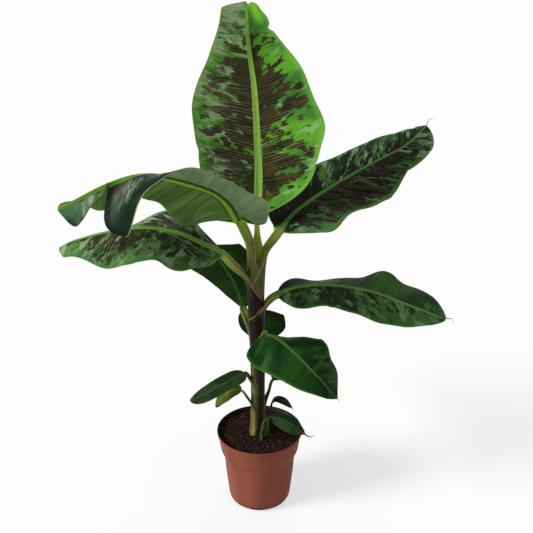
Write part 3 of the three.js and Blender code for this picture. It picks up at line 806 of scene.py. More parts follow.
def upper_finish(name, tones, seed, spacing):
    """The upper side of a blade: greens and dark patches drawn out along the veins, and a pale midrib."""
    f = Finish(name + "_upper", 0.5, tones["gloss"])
    reach, vein, side = vein_axes(f, tones["slant"])
    edge, rib = f.attribute("edge"), f.attribute("rib")
    shift = f.times(side, 3.1)

    def veined(across, along, depth, detail, roughness, twist=0.0):
        place = f.vector(f.maths("MULTIPLY_ADD", reach, across, shift), f.times(vein, along), seed + depth)
        return f.noise(place, 1.0, detail, roughness, twist)

    def by_side(pair):
        return f.ramp(side, -0.1, 0.1, *pair)

    patches = veined(*tones["grain"], 0.0, 5.0, 0.62, 0.3)
    jags = veined(60.0, 330.0, 3.0, 3.0, 0.6)
    broad = veined(9.0, 15.0, 7.0, 3.0, 0.5)
    haze = veined(*tones["clusters"], 11.0, 4.0, 0.6)
    scratch = f.drawn_out(f.plus(reach, vein), f.maths("SUBTRACT", vein, reach), (34.0, 420.0), seed)
    lines = vein_lines(f, reach, vein, spacing, 7.0)

    # where the dark patches lie
    shade = f.maths("MULTIPLY_ADD", jags, 0.3, patches)
    shade = f.maths("MULTIPLY_ADD", broad, 0.35, shade)
    inward = tones["inward"]
    bias = f.add("ShaderNodeMapRange", {0: edge, 1: 0.1, 2: 0.95, 3: inward, 4: -1.3 * inward})
    shade = f.plus(f.plus(shade, bias), f.attribute("patchy"))
    shade = f.plus(shade, f.ramp(edge, 0.88, 1.0, 0.0, -0.3))
    dark = f.ramp(shade, 0.82, 0.84)

    green = f.mix(f.ramp(broad, 0.38, 0.6), tones["green"], tones["deep"])
    # the pale haze: partly the blade's own mottling, partly a painted sheen where the gloss catches the light
    thin = f.maths("SUBTRACT", haze, by_side(tones["haze"]))
    haze_and_sheen = f.times(f.ramp(thin, -0.05, 0.05), f.ramp(jags, 0.4, 0.58, 0.35, 0.9))
    green = f.mix(f.times(haze_and_sheen, by_side(tones["pale_share"])), green, tones["pale"])
    green = f.mix(f.times(f.ramp(edge, 0.25, 0.85), f.attribute("deepen")), green, tones["deep"])
    green = f.mix(f.times(lines, tones["veins"]), green, scaled(tones["deep"], 0.8))
    brown = f.mix(f.ramp(haze, 0.36, 0.6), tones["blotch"], tones["blotch_dark"])
    brown = f.mix(by_side((tones["left_dark"], 0.0)), brown, tones["left_blotch"])
    brown = f.mix(f.times(f.ramp(jags, 0.52, 0.7), 0.3), brown, tones["deep"])
    line_share = f.times(lines, f.maths("MULTIPLY_ADD", f.attribute("veined"), 0.4, tones["line"]))
    brown = f.mix(line_share, brown, f.mix(0.5, tones["pale"], tone(150, 116, 84)))
    colour = f.mix(dark, green, brown)

    scuffed = f.times(f.ramp(scratch, 0.52, 0.66), f.attribute("scratched"))
    # faded marks: partly worn and bleached, partly a painted sheen
    bleached_and_sheen = f.times(f.times(f.ramp(jags, 0.44, 0.62), f.ramp(haze, 0.36, 0.56)), f.attribute("faded_and_sheen"))
    colour = f.mix(f.times(f.maths("MAXIMUM", scuffed, bleached_and_sheen), 0.75), colour, tones["faded_and_sheen"])
    colour = f.mix(f.times(f.ramp(edge, 0.86, 0.98), by_side(tones["rim"])), colour, tones["margin"])
    colour = f.mix(f.times(f.attribute("crease"), 0.6), colour, scaled(tones["faded_and_sheen"], 1.05))
    colour = f.mix(f.attribute("bright"), colour, tone(112, 186, 44))
    colour = f.mix(f.ramp(edge, *HEM), colour, tones["hem"])
    rib_streak = f.drawn_out(reach, vein, (1100.0, 10.0), 0.0, 2.0)
    rib_tone = f.mix(f.ramp(rib_streak, 0.46, 0.6), tones["rib"], scaled(tones["rib"], 0.5))
    rib_tone = f.mix(f.ramp(rib, 0.3, 0.02), rib_tone, scaled(tones["rib"], 1.15))
    colour = f.mix(f.ramp(rib, 0.0, 0.08), colour, rib_tone)
    colour = dried(f, colour, jags, f.mix(f.ramp(haze, 0.4, 0.6), tone(92, 62, 38), tone(56, 40, 25)))
    f.bump(f.maths("MULTIPLY_ADD", lines, -0.7, f.times(jags, 0.9)), *RELIEF)
    return f.done(colour, f.ramp(haze, 0.35, 0.65, 0.4, 0.56))


def under_finish(name, tones, spacing):
    """The underside of a blade: dull green with fine parallel veins, and a bright midrib."""
    f = Finish(name + "_under", 0.6, tones["gloss"])
    reach, vein, side = vein_axes(f, tones["slant"])
    rib = f.attribute("rib")
    lines = vein_lines(f, reach, vein, spacing, 2.0)
    streaks = f.drawn_out(reach, vein, (10.0, 170.0), 0.0, 4.0)
    broad = f.drawn_out(reach, vein, (12.0, 18.0), 5.0)
    under, deep = tones["under"], tones["under_deep"]
    colour = f.mix(f.ramp(broad, 0.36, 0.64), under, f.mix(0.5, under, deep))
    colour = f.mix(f.times(f.ramp(streaks, 0.4, 0.66), 0.6), colour, deep)
    colour = f.mix(f.times(lines, 0.55), colour, deep)
    colour = f.mix(f.ramp(side, -0.1, 0.1, tones["under_haze"], 0.0), colour, tones["pale"])
    colour = f.mix(f.ramp(f.attribute("edge"), *HEM), colour, tones["hem"])
    rib_tone = f.mix(f.ramp(rib, 0.12, 0.5), scaled(deep, 0.7), tone(134, 174, 44))
    colour = f.mix(f.ramp(rib, 0.0, 0.1), colour, rib_tone)
    colour = dried(f, colour, streaks, f.mix(f.ramp(broad, 0.4, 0.6), tone(104, 70, 38), tone(62, 44, 26)))
    f.bump(f.maths("MULTIPLY_ADD", lines, 0.7, f.times(streaks, 0.5)), *RELIEF)
    return f.done(colour, f.ramp(streaks, 0.3, 0.7, 0.52, 0.68))


# The older, outer sheaths are this much darker than their dry margins
SHEATH_DEPTH = (0.72, 0.69, 0.6, 1.0)


def stalk_finish():
    """Green stalks with long brown streaks, browner towards the stem, and a bright channel with pale lips."""
    f = Finish("stalk_skin", 0.45, 0.08)
    around, along = f.map_axes()
    joined = f.attribute("joined")
    streaks = f.drawn_out(around, along, (300.0, 9.0), roughness=0.6)
    spots = f.drawn_out(around, along, (110.0, 26.0), 4.0, 4.0, 0.6)
    # root: the stem's colours where the stalk wraps it, painted shade on the lower stem included
    root = f.mix(1.0, f.attribute("root", 0), SHEATH_DEPTH, "MULTIPLY")
    olive = f.mix(joined, f.attribute("shade", 0), root)
    dark = f.mix(0.6, olive, tone(40, 30, 22))
    colour = f.mix(f.times(f.ramp(streaks, 0.48, 0.64), 0.6), olive, dark)
    paler = f.mix(joined, tone(150, 156, 100), f.mix(0.4, olive, tone(150, 146, 104)))
    colour = f.mix(f.times(f.ramp(streaks, 0.44, 0.32), 0.4), colour, paler)
    stain = f.times(f.ramp(spots, 0.55, 0.68), f.ramp(f.attribute("share"), 0.9, 0.2, 0.15, 0.75))
    colour = f.mix(stain, colour, tone(58, 40, 30))
    colour = f.mix(f.times(f.attribute("inside"), 0.75), colour, tone(138, 148, 46))
    colour = f.mix(f.times(f.attribute("lip"), 0.8), colour, tone(186, 150, 112))
    f.bump(streaks, 0.35, 0.0012)
    return f.done(colour, f.ramp(streaks, 0.3, 0.7, 0.38, 0.54))


def stem_finish():
    """The stem's wrapped sheaths: each its own tone, with long fibres, dark stains and dry pale edges."""
    f = Finish("stem_sheaths", 0.48, 0.08)
    around, along = f.map_axes()
    fibres = f.drawn_out(around, along, (460.0, 7.0), 0.0, 4.0, 0.65)
    stains = f.drawn_out(around, along, (75.0, 20.0), 2.0, 5.0, 0.62)
    clear = f.maths("SUBTRACT", 1.0, f.attribute("margin"))
    # the sheath colours carry the painted shade on one side of the lower stem
    base = f.mix(1.0, f.attribute("sheath", 0), SHEATH_DEPTH, "MULTIPLY")
    darker = f.mix(0.7, base, tone(26, 17, 12))
    paler = f.mix(0.3, base, tone(136, 130, 90))
    colour = f.mix(f.times(f.times(f.ramp(fibres, 0.48, 0.64), 0.75), clear), base, darker)
    colour = f.mix(f.times(f.ramp(fibres, 0.42, 0.3), 0.7), colour, paler)
    colour = f.mix(f.times(f.times(f.ramp(stains, 0.5, 0.64), 0.75), clear), colour, darker)
    f.bump(f.plus(fibres, f.times(stains, 0.4)), *RELIEF)
    return f.done(colour, f.ramp(fibres, 0.3, 0.7, 0.4, 0.58))


def pot_finish(colour):
    """Moulded plastic: satin, with faint flow marks, fine scuffs, some soil dust at the foot, and painted
    shade in the crease under the band.
    """
    f = Finish("pot_plastic", 0.5, 0.05)
    place = f.place()
    axes = f.split(place)
    flow = f.noise(f.add("ShaderNodeMapping", {0: place, 3: (26.0, 26.0, 5.0)}), 1.0, 4.0)
    grain = f.noise(place, 1100.0, 2.0)
    scuffs = f.noise(f.add("ShaderNodeMapping", {0: place, 3: (40.0, 40.0, 160.0)}), 1.0, 5.0, 0.7)
    skin = f.mix(f.ramp(flow, 0.3, 0.7), tuple(colour), scaled(colour, 0.84))
    skin = f.mix(f.times(f.ramp(scuffs, 0.63, 0.74), 0.3), skin, scaled(colour, 1.4))
    # painted shade: a darker ring in the crease under the band's foot
    crease = f.times(f.ramp(axes[2], 0.112, 0.118), f.ramp(axes[2], 0.128, 0.121))
    skin = f.mix(f.times(crease, 0.2), skin, tone(84, 34, 20))
    low = f.ramp(axes[2], 0.03, 0.0)
    dust = f.times(low, f.ramp(scuffs, 0.4, 0.6))
    skin = f.mix(f.times(dust, 0.55), skin, tone(60, 36, 28))
    f.bump(f.plus(f.times(grain, 0.3), f.times(flow, 1.2)), 0.2, 0.0006)
    return f.done(skin, f.ramp(flow, 0.3, 0.7, 0.44, 0.58))


def pot_inside_and_notch_shade_finish():
    """The inside of the pot and its lip, stained nearly black by wet soil; the faces of the drain notches
    take it too, as painted shade.
    """
    f = Finish("pot_inside", 0.6, 0.3)
    smears = f.noise(f.place(), 70.0, 5.0, 0.65)
    colour = f.mix(f.ramp(smears, 0.4, 0.62), tone(30, 19, 16), tone(52, 32, 26))
    f.bump(smears, 0.3, 0.001)
    return f.done(colour, f.ramp(smears, 0.3, 0.7, 0.5, 0.75))


def soil_finish(colour):
    f = Finish("soil_crumb", 0.92, 0.15)
    place = f.place()
    crumbs = f.noise(place, 170.0, 5.0, 0.7)
    clods = f.noise(place, 80.0, 4.0, 0.6)
    pale, tint = f.attribute("shade"), f.attribute("tint")
    ground = f.mix(f.ramp(clods, 0.44, 0.56), scaled(colour, 1.25), scaled(colour, 0.25))
    ground = f.mix(f.times(f.ramp(crumbs, 0.5, 0.6), 0.6), ground, scaled(colour, 3.0))
    ground = f.mix(tint, ground, scaled(colour, 5.0))
    ground = f.mix(pale, ground, tone(196, 186, 170))
    f.bump(f.plus(crumbs, clods), 0.9, 0.004)
    return f.done(ground)


def dry_finish():
    f = Finish("dry_tips", 0.8, 0.2)
    streaks = f.noise(f.place(), 300.0, 3.0)
    colour = f.mix(f.ramp(streaks, 0.35, 0.65), tone(84, 56, 34), tone(40, 28, 20))
    f.bump(streaks, 0.4, 0.001)
    return f.done(colour)


# Sizes and colours that a user would change
class PotSettings(bpy.types.PropertyGroup):
    height: bpy.props.FloatProperty(
        name="Height", description="Height of the pot",
        default=POT["height"] * MM, min=0.05, unit="LENGTH")
    rim_radius: bpy.props.FloatProperty(
        name="Rim radius", description="Radius of the pot at its rim",
        default=POT["rim_radius"] * MM, min=0.03, unit="LENGTH")
    facets: bpy.props.IntProperty(name="Facets", description="Facets round the pot", default=120, min=24)
    colour: bpy.props.FloatVectorProperty(
        name="Colour", description="Colour of the plastic", size=4, subtype="COLOR",
        default=tone(135, 74, 58), min=0, max=1)


class SoilSettings(bpy.types.PropertyGroup):
    level: bpy.props.FloatProperty(
        name="Level", description="Height of the soil's surface",
        default=SOIL_TOP * MM, min=0.01, unit="LENGTH")
    crumbs: bpy.props.IntProperty(
        name="Crumbs", description="Loose crumbs and fibres on the soil", default=2400, min=0)
    colour: bpy.props.FloatVectorProperty(
        name="Colour", description="Colour of the damp soil", size=4, subtype="COLOR",
        default=tone(38, 25, 20), min=0, max=1)


class LeafSettings(bpy.types.PropertyGroup):
    thickness: bpy.props.FloatProperty(
        name="Thickness", description="Thickness of a large blade",
        default=1.1 * MM, min=0.0002, unit="LENGTH")
    vein_spacing: bpy.props.FloatProperty(
        name="Vein spacing", description="Distance between the side veins",
        default=5.4 * MM, min=0.001, unit="LENGTH")
    wave: bpy.props.FloatProperty(
        name="Wave", description="How far the margins wave up and down",
        default=2.2 * MM, min=0, unit="LENGTH")
    step: bpy.props.FloatProperty(
        name="Step", description="Length of one face along a blade",
        default=2.2 * MM, min=0.001, unit="LENGTH")


class StudioSettings(bpy.types.PropertyGroup):
    floor_colour: bpy.props.FloatVectorProperty(
        name="Floor", description="Colour of the studio floor", size=4, subtype="COLOR",
        default=(0.4, 0.4, 0.4, 1), min=0, max=1)
    light: bpy.props.FloatProperty(
        name="Light", description="Strength of the studio lights",
        default=1.0, min=0)


# Pot and soil
def pot_profile(height, rim):
    """Radius and height of the pot's skin, from the underside over the rim to the floor inside."""
    band = height - POT["band_height"]
    shoulder = band - POT["shoulder_rise"]
    levels = {"foot": 0, "shoulder": shoulder, "band": band, "rim": height}
    outer = [(radius, levels[part] + rise) for part in levels for radius, rise in POT_RINGS[part]]
    wall = POT["wall"]
    inner = [(POT["rim_radius"] - wall + 0.4, height - 0.3), (POT["rim_radius"] - wall, height - POT["lip"]),
             (POT["band_foot_radius"] - wall, band), (POT["body_top_radius"] - wall, shoulder),
             (POT["body_foot_radius"] - wall, POT["edge_rise"]), *POT_FLOOR_RINGS]
    share = rim / POT["rim_radius"]
    return [(radius * share, level) for radius, level in outer + inner]


class BANANA_OT_pot(bpy.types.Operator):
    """Raise the nursery pot ring by ring and cut its drain notches"""
    bl_idname = "banana.pot"
    bl_label = "Pot"

    def execute(self, context):
        settings = context.scene.banana_pot
        profile = pot_profile(settings.height / MM, settings.rim_radius / MM)
        radius, level = profile[0]
        alone()
        bpy.ops.mesh.primitive_circle_add(vertices=settings.facets, radius=radius * MM, fill_type="NOTHING",
                                          location=(0, 0, 0))
        pot = context.object
        pot.name = "nursery_pot"
        bpy.ops.object.mode_set(mode="EDIT")
        bpy.ops.mesh.select_all(action="SELECT")
        for next_radius, next_level in profile[1:]:
            lift = {"value": (0, 0, (next_level - level) * MM)}
            bpy.ops.mesh.extrude_region_move(TRANSFORM_OT_translate=lift)
            grow = next_radius / radius
            bpy.ops.transform.resize(value=(grow, grow, 1), center_override=(0, 0, next_level * MM))
            radius, level = next_radius, next_level
        bpy.ops.mesh.edge_face_add()
        bpy.ops.object.mode_set(mode="OBJECT")
        self.fill_underside(pot)
        merge(pot, 0.01)
        self.cut_notches(pot)
        smooth(pot, 42)
        pot.data.materials.clear()
        pot.data.materials.append(pot_finish(settings.colour))
        pot.data.materials.append(pot_inside_and_notch_shade_finish())
        # the inside, lip and floor take the dark finish; the faces of the drain notches take it as painted
        # shade
        for face in pot.data.polygons:
            face.material_index = int(self.stained(face, settings.height) or self.in_notch(face.center))
        settle(pot, "pot", "pot")
        return {"FINISHED"}

    def stained(self, face, height):
        """Is a face on the inside of the wall, on the lip or on the floor?"""
        level = face.center.z
        inwards = face.normal.xy.dot(face.center.xy) < -0.2 * face.center.xy.length
        ends = level > height - (POT["lip"] + 0.4) * MM or level < 2 * POT["floor"] * MM
        return (inwards and level > POT["floor"] * MM) or (face.normal.z > 0.5 and ends)

    def fill_underside(self, pot):
        choose(pot)
        bpy.ops.object.mode_set(mode="EDIT")
        bpy.ops.mesh.select_all(action="DESELECT")
        bpy.ops.mesh.select_mode(type="VERT")
        bpy.ops.object.mode_set(mode="OBJECT")
        for vertex in pot.data.vertices:
            vertex.select = vertex.co.z < 0.1 * MM and vertex.co.xy.length < (POT["flat_radius"] + 0.5) * MM
        bpy.ops.object.mode_set(mode="EDIT")
        bpy.ops.mesh.edge_face_add()
        bpy.ops.object.mode_set(mode="OBJECT")

    def in_notch(self, place):
        step = 2 * math.pi / POT["notches"]
        turn = math.atan2(place.y, place.x) / step - POT["notch_turn"]
        aside = abs(turn - round(turn)) * step * place.xy.length
        return aside < POT["notch_width"] / 2 * MM and place.z < (POT["notch_rise"] + 0.1) * MM

    def cut_notches(self, pot):
        cutters = []
        reach = (POT["body_foot_radius"] + 6) * MM
        for i in range(POT["notches"]):
            angle = 2 * math.pi * (i + POT["notch_turn"]) / POT["notches"]
            place = (reach * math.cos(angle), reach * math.sin(angle), 0)
            alone()
            bpy.ops.mesh.primitive_cube_add(size=1, location=place, rotation=(0, 0, angle))
            cutter = bpy.context.object
            cutter.scale = (POT["notch_depth"] * MM, POT["notch_width"] * MM, 2 * POT["notch_rise"] * MM)
            bpy.ops.object.transform_apply(location=True, rotation=True, scale=True)
            cutters.append(cutter)
        tool = join(cutters, "notch_tool")
        choose(pot)
        cut = pot.modifiers.new("notches", "BOOLEAN")
        cut.operation = "DIFFERENCE"
        cut.solver = "EXACT"
        cut.object = tool
        bpy.ops.object.modifier_apply(modifier=cut.name)
        bpy.data.objects.remove(tool)


def soil_height(points, level):
    """The soil's uneven surface: it heaps up a little round the stem and is rough with clods."""
    reach = np.linalg.norm(points[:, :2], axis=1)
    heap = 2.0 * np.exp(-((reach / 34) ** 2)) - 1.0
    flat = np.column_stack([points[:, :2], np.zeros(len(points))])
    return level + heap + 1.8 * rough(flat, 22, 1) + 1.9 * rough(flat, 8, 2) + 1.0 * rough(flat, 3.6, 3)


class BANANA_OT_soil(bpy.types.Operator):
    """Fill the pot with soil and strew crumbs and fibres over it"""
    bl_idname = "banana.soil"
    bl_label = "Soil"

    def execute(self, context):
        settings = context.scene.banana_soil
        level = settings.level / MM
        finish = soil_finish(settings.colour)
        bed = shaped_grid("soil_bed", 150, 100, lambda u, v: self.place(u, v, level))
        merge(bed, 0.01)
        smooth(bed, 60)
        bed.data.materials.append(finish)
        settle(bed, "soil", "soil")
        crumbs = self.strew(settings.crumbs, level)
        crumbs.data.materials.append(finish)
        settle(crumbs, "soil")
        return {"FINISHED"}

    def place(self, u, v, level):
        """The top of the bed out to its edge, and then its side down to the pot's floor."""
        angle = 2 * math.pi * u
        on_top = v <= SOIL_TOP_SHARE
        below = np.clip((v - SOIL_TOP_SHARE) / (1 - SOIL_TOP_SHARE), 0, 1)
        radius = np.where(on_top, SOIL_EDGE * np.clip(v / SOIL_TOP_SHARE, 0, 1), np.interp(below, *SOIL_SIDE))
        flat = np.column_stack([radius * np.cos(angle), radius * np.sin(angle), np.zeros(len(u))])
        surface = soil_height(flat, level)
        shoulder = POT["height"] - POT["band_height"]
        walls = [level - 1, shoulder, shoulder - POT["shoulder_rise"], POT["edge_rise"], POT["floor"] + 0.4]
        down = np.interp(below, [0, 0.35, 0.5, 0.9, 1], walls)
        height = np.where(on_top, surface, np.minimum(surface, down))
        bare = np.zeros(len(u))
        return np.column_stack([flat[:, :2], height]), flat[:, :2], {"shade": bare, "tint": bare}

    def strew(self, number, level):
        """One lump of a few faces, copied and turned, with long ones as fibres and a few pale ones."""
        dice = np.random.default_rng(CRUMBS["seed"])
        alone()
        bpy.ops.mesh.primitive_ico_sphere_add(subdivisions=1, radius=1)
        lump = bpy.context.object
        corners = np.array([v.co for v in lump.data.vertices])
        faces = np.array([list(p.vertices) for p in lump.data.polygons])
        bpy.data.objects.remove(lump)
        fibre = dice.uniform(0, 1, number) < CRUMBS["fibre_share"]
        sizes = dice.uniform(*CRUMBS["sizes"], number)
        stretch = np.column_stack([np.where(fibre, sizes * CRUMBS["fibre_length"], sizes),
                                   np.where(fibre, CRUMBS["fibre_width"], sizes * CRUMBS["lump_width"]),
                                   np.where(fibre, CRUMBS["fibre_height"], sizes * CRUMBS["lump_height"])])
        pale = dice.uniform(0, 1, number) < CRUMBS["pale_share"]
        stretch[pale] = CRUMBS["pale_size"]
        room = SOIL_EDGE - CRUMBS["uneven"][1] * stretch[:, 0]
        reach = room * np.sqrt(dice.uniform(0, 1, number))
        turn = dice.uniform(0, 2 * math.pi, number)
        spots = np.column_stack([reach * np.cos(turn), reach * np.sin(turn), np.zeros(number)])
        spots[:, 2] = soil_height(spots, level)
        browns = np.where(fibre, dice.uniform(0.1, 0.8, number), dice.uniform(0, 0.4, number))
        points = []
        for i in range(number):
            spin, tilt = dice.uniform(0, 2 * math.pi), dice.normal(0, 0.35)
            turned = Matrix.Rotation(spin, 3, "Z") @ Matrix.Rotation(tilt, 3, "Y")
            shape = corners * stretch[i] * dice.uniform(*CRUMBS["uneven"], (len(corners), 1))
            points.append(shape @ np.array(turned).T + spots[i] + [0, 0, 0.35 * sizes[i]])
        mesh = bpy.data.meshes.new("soil_crumbs")
        all_faces = (faces[None] + len(corners) * np.arange(number)[:, None, None]).reshape(-1, 3)
        mesh.from_pydata(np.vstack(points) * MM, [], all_faces.tolist())
        write_attribute(mesh, "shade", np.repeat(np.where(pale, 0.9, 0.0), len(corners)))
        write_attribute(mesh, "tint", np.repeat(browns, len(corners)))
        crumbs = bpy.data.objects.new("soil_crumbs", mesh)
        bpy.context.scene.collection.objects.link(crumbs)
        return crumbs


# Stem. Each sheath wraps the stem below its leaf: its two margins leave the stalk's sides at the top and meet
# behind. Inner ones come first, and each lies over those before it.
DULL_EDGE = tone(104, 92, 62)
SHEATHS = {
    "top_leaf": {"top": 600, "azimuth": 90, "drop": 60, "spread": 60, "tone": tone(126, 134, 76),
                 "edge": tone(170, 176, 120)},
    "arching_leaf": {"top": 583, "azimuth": 214, "drop": 90, "spread": 50, "tone": tone(112, 118, 60),
                     "edge": tone(170, 168, 118)},
    "upper_right_leaf": {"top": 598, "azimuth": 23, "drop": 90, "spread": 50, "tone": tone(120, 116, 78),
                         "edge": tone(196, 186, 144)},
    "left_leaf": {"top": 535, "azimuth": 206, "drop": 70, "spread": 38, "tone": tone(42, 29, 24),
                  "edge": tone(176, 98, 66)},
    "right_leaf": {"top": 478, "azimuth": -17, "drop": 40, "spread": 40, "tone": tone(34, 27, 17),
                   "edge": tone(190, 152, 122)},
    "back_left_leaf": {"top": 425, "azimuth": 130, "drop": 60, "spread": 40, "tone": tone(44, 36, 22),
                       "edge": DULL_EDGE},
    "front_leaf": {"top": 405, "azimuth": -65, "drop": 60, "spread": 40, "tone": tone(72, 68, 38),
                   "edge": DULL_EDGE},
    "back_leaf": {"top": 362, "azimuth": 80, "drop": 50, "spread": 40, "tone": tone(88, 86, 48),
                  "edge": DULL_EDGE},
    "low_left_leaf": {"top": 308, "azimuth": 208, "drop": 60, "spread": 45, "tone": tone(124, 124, 72),
                      "edge": tone(150, 140, 98)},
    "yellow_leaf": {"top": 256, "azimuth": 212, "drop": 60, "spread": 45, "tone": tone(128, 122, 70),
                    "edge": tone(160, 146, 92)},
    "low_back_leaf": {"top": 240, "azimuth": 38, "drop": 70, "spread": 45, "tone": tone(104, 92, 54),
                      "edge": tone(140, 120, 80)},
}


def stem_form(z):
    """The stem's middle and radius at heights in millimetres."""
    share = np.clip((z - SOIL_TOP) / (STEM["top"] - SOIL_TOP), 0, 1)
    flare = 1 + STEM["flare"] * np.clip(1 - (z - SOIL_TOP) / STEM["flare_rise"], 0, 1.2)
    return smooth_read(STEM["middle_x"], share), smooth_read(STEM["radii"], share) * flare


def sheath_skin(angle, z):
    """Colour, closeness to a sheath's margin, and how far the margins stand out, at places on the stem."""
    colour = np.zeros((len(z), 4)) + np.array(SHEATHS["top_leaf"]["tone"])
    margins = np.zeros(len(z))
    stand = np.zeros(len(z))

    def aside(azimuth):
        return np.abs((np.degrees(angle) - azimuth + 180) % 360 - 180)

    def tinted(share, shade):
        return colour + share[:, None] * (np.array(shade) - colour)

    for turn, sheath in enumerate(SHEATHS.values()):
        ripple = 1.1 * np.sin(3 * angle + turn) + 0.7 * np.sin(7 * angle - 2 * turn)
        spread = sheath["spread"]
        past = np.clip((aside(sheath["azimuth"]) - spread) / (180 - spread), 0, 1)
        inside = sheath["top"] - sheath["drop"] * past**0.8 - z + ripple
        cover = np.clip(inside / 1.4 + 0.5, 0, 1)
        line = np.exp(-((inside - 1.3) / 1.5) ** 2)
        stand = np.maximum(stand * (1 - cover), cover * 0.9 * np.exp(-np.maximum(inside, 0) / 22))
        colour = tinted(cover, sheath["tone"])
        colour = tinted(0.85 * line, sheath["edge"])
        margins = np.maximum(margins * (1 - cover), line)
    # painted shade on one side of the lower stem, a dry strip beside it, and pale strands at the foot
    low = np.clip((420 - z) / 50, 0, 1)
    shadow = np.clip(1.7 - aside(296 + 9 * np.sin(z / 37)) / 30, 0, 1) * low
    colour = tinted(0.9 * shadow, tone(32, 25, 15))
    strip = np.clip(1.2 - aside(232 + 5 * np.sin(z / 29)) / 11, 0, 1) * np.clip((352 - z) / 30, 0, 1)
    colour = tinted(0.5 * strip, tone(184, 176, 128))
    strands = np.clip(3 * np.sin(4 * angle + 1.9 + z / 90) - 1.6, 0, 1)
    foot = np.clip(1.6 - 1.6 * (z - SOIL_TOP) / 70, 0, 1) * strands
    colour = tinted(0.8 * foot, tone(178, 158, 92))
    return colour, np.clip(margins, 0, 1), stand


class BANANA_OT_stem(bpy.types.Operator):
    """Wrap the stem's leaf sheaths over each other"""
    bl_idname = "banana.stem"
    bl_label = "Stem"

    def execute(self, context):
        stem = shaped_grid("sheathed_stem", 120, 440, self.place)
        merge(stem, 0.001)
        smooth(stem, 50)
        stem.data.materials.append(stem_finish())
        settle(stem, "stem", "stem")
        return {"FINISHED"}

    def place(self, u, v):
        foot = SOIL_TOP - STEM["foot_depth"]
        ends = np.clip(np.minimum(v / 0.004, (1 - v) / 0.03), 0, 1) ** 0.5
        z = foot + (STEM["top"] - foot) * np.clip(v, 0, 1)
        angle = 2 * math.pi * u
        middle, radius = stem_form(z)
        colour, margins, stand = sheath_skin(angle, z)
        ridges = 0.14 * np.sin(23 * angle + z / 60) + 0.1 * np.sin(41 * angle - z / 35)
        folds = 0.5 * np.sin(5 * angle + 0.8) * np.clip(1 - (z - SOIL_TOP) / 70, 0, 1)
        reach = (radius - 0.4 + stand + ridges + folds) * ends
        points = np.column_stack([middle + reach * np.cos(angle), reach * np.sin(angle), z])
        return points, np.column_stack([angle * STEM["map_radius"], z]), {"sheath": colour, "margin": margins}


# Leaves
STALK_LIGHTS = {
    "top_leaf": tone(122, 150, 70),
    "upper_right_leaf": tone(96, 112, 40),
    "arching_leaf": tone(122, 142, 56),
    "left_leaf": tone(122, 138, 54),
    "right_leaf": tone(88, 104, 44),
    "back_left_leaf": tone(84, 104, 44),
}
YOUNG_STALK = tone(58, 76, 36)
# The channel along a stalk's upper side: half its angle in degrees, and its depth and the height of its two
# lips as shares of the stalk's radius
CHANNEL_HALF = 62
CHANNEL_DEPTH = 0.62
LIP_HEIGHT = 0.08
LARGE_STALK = 5


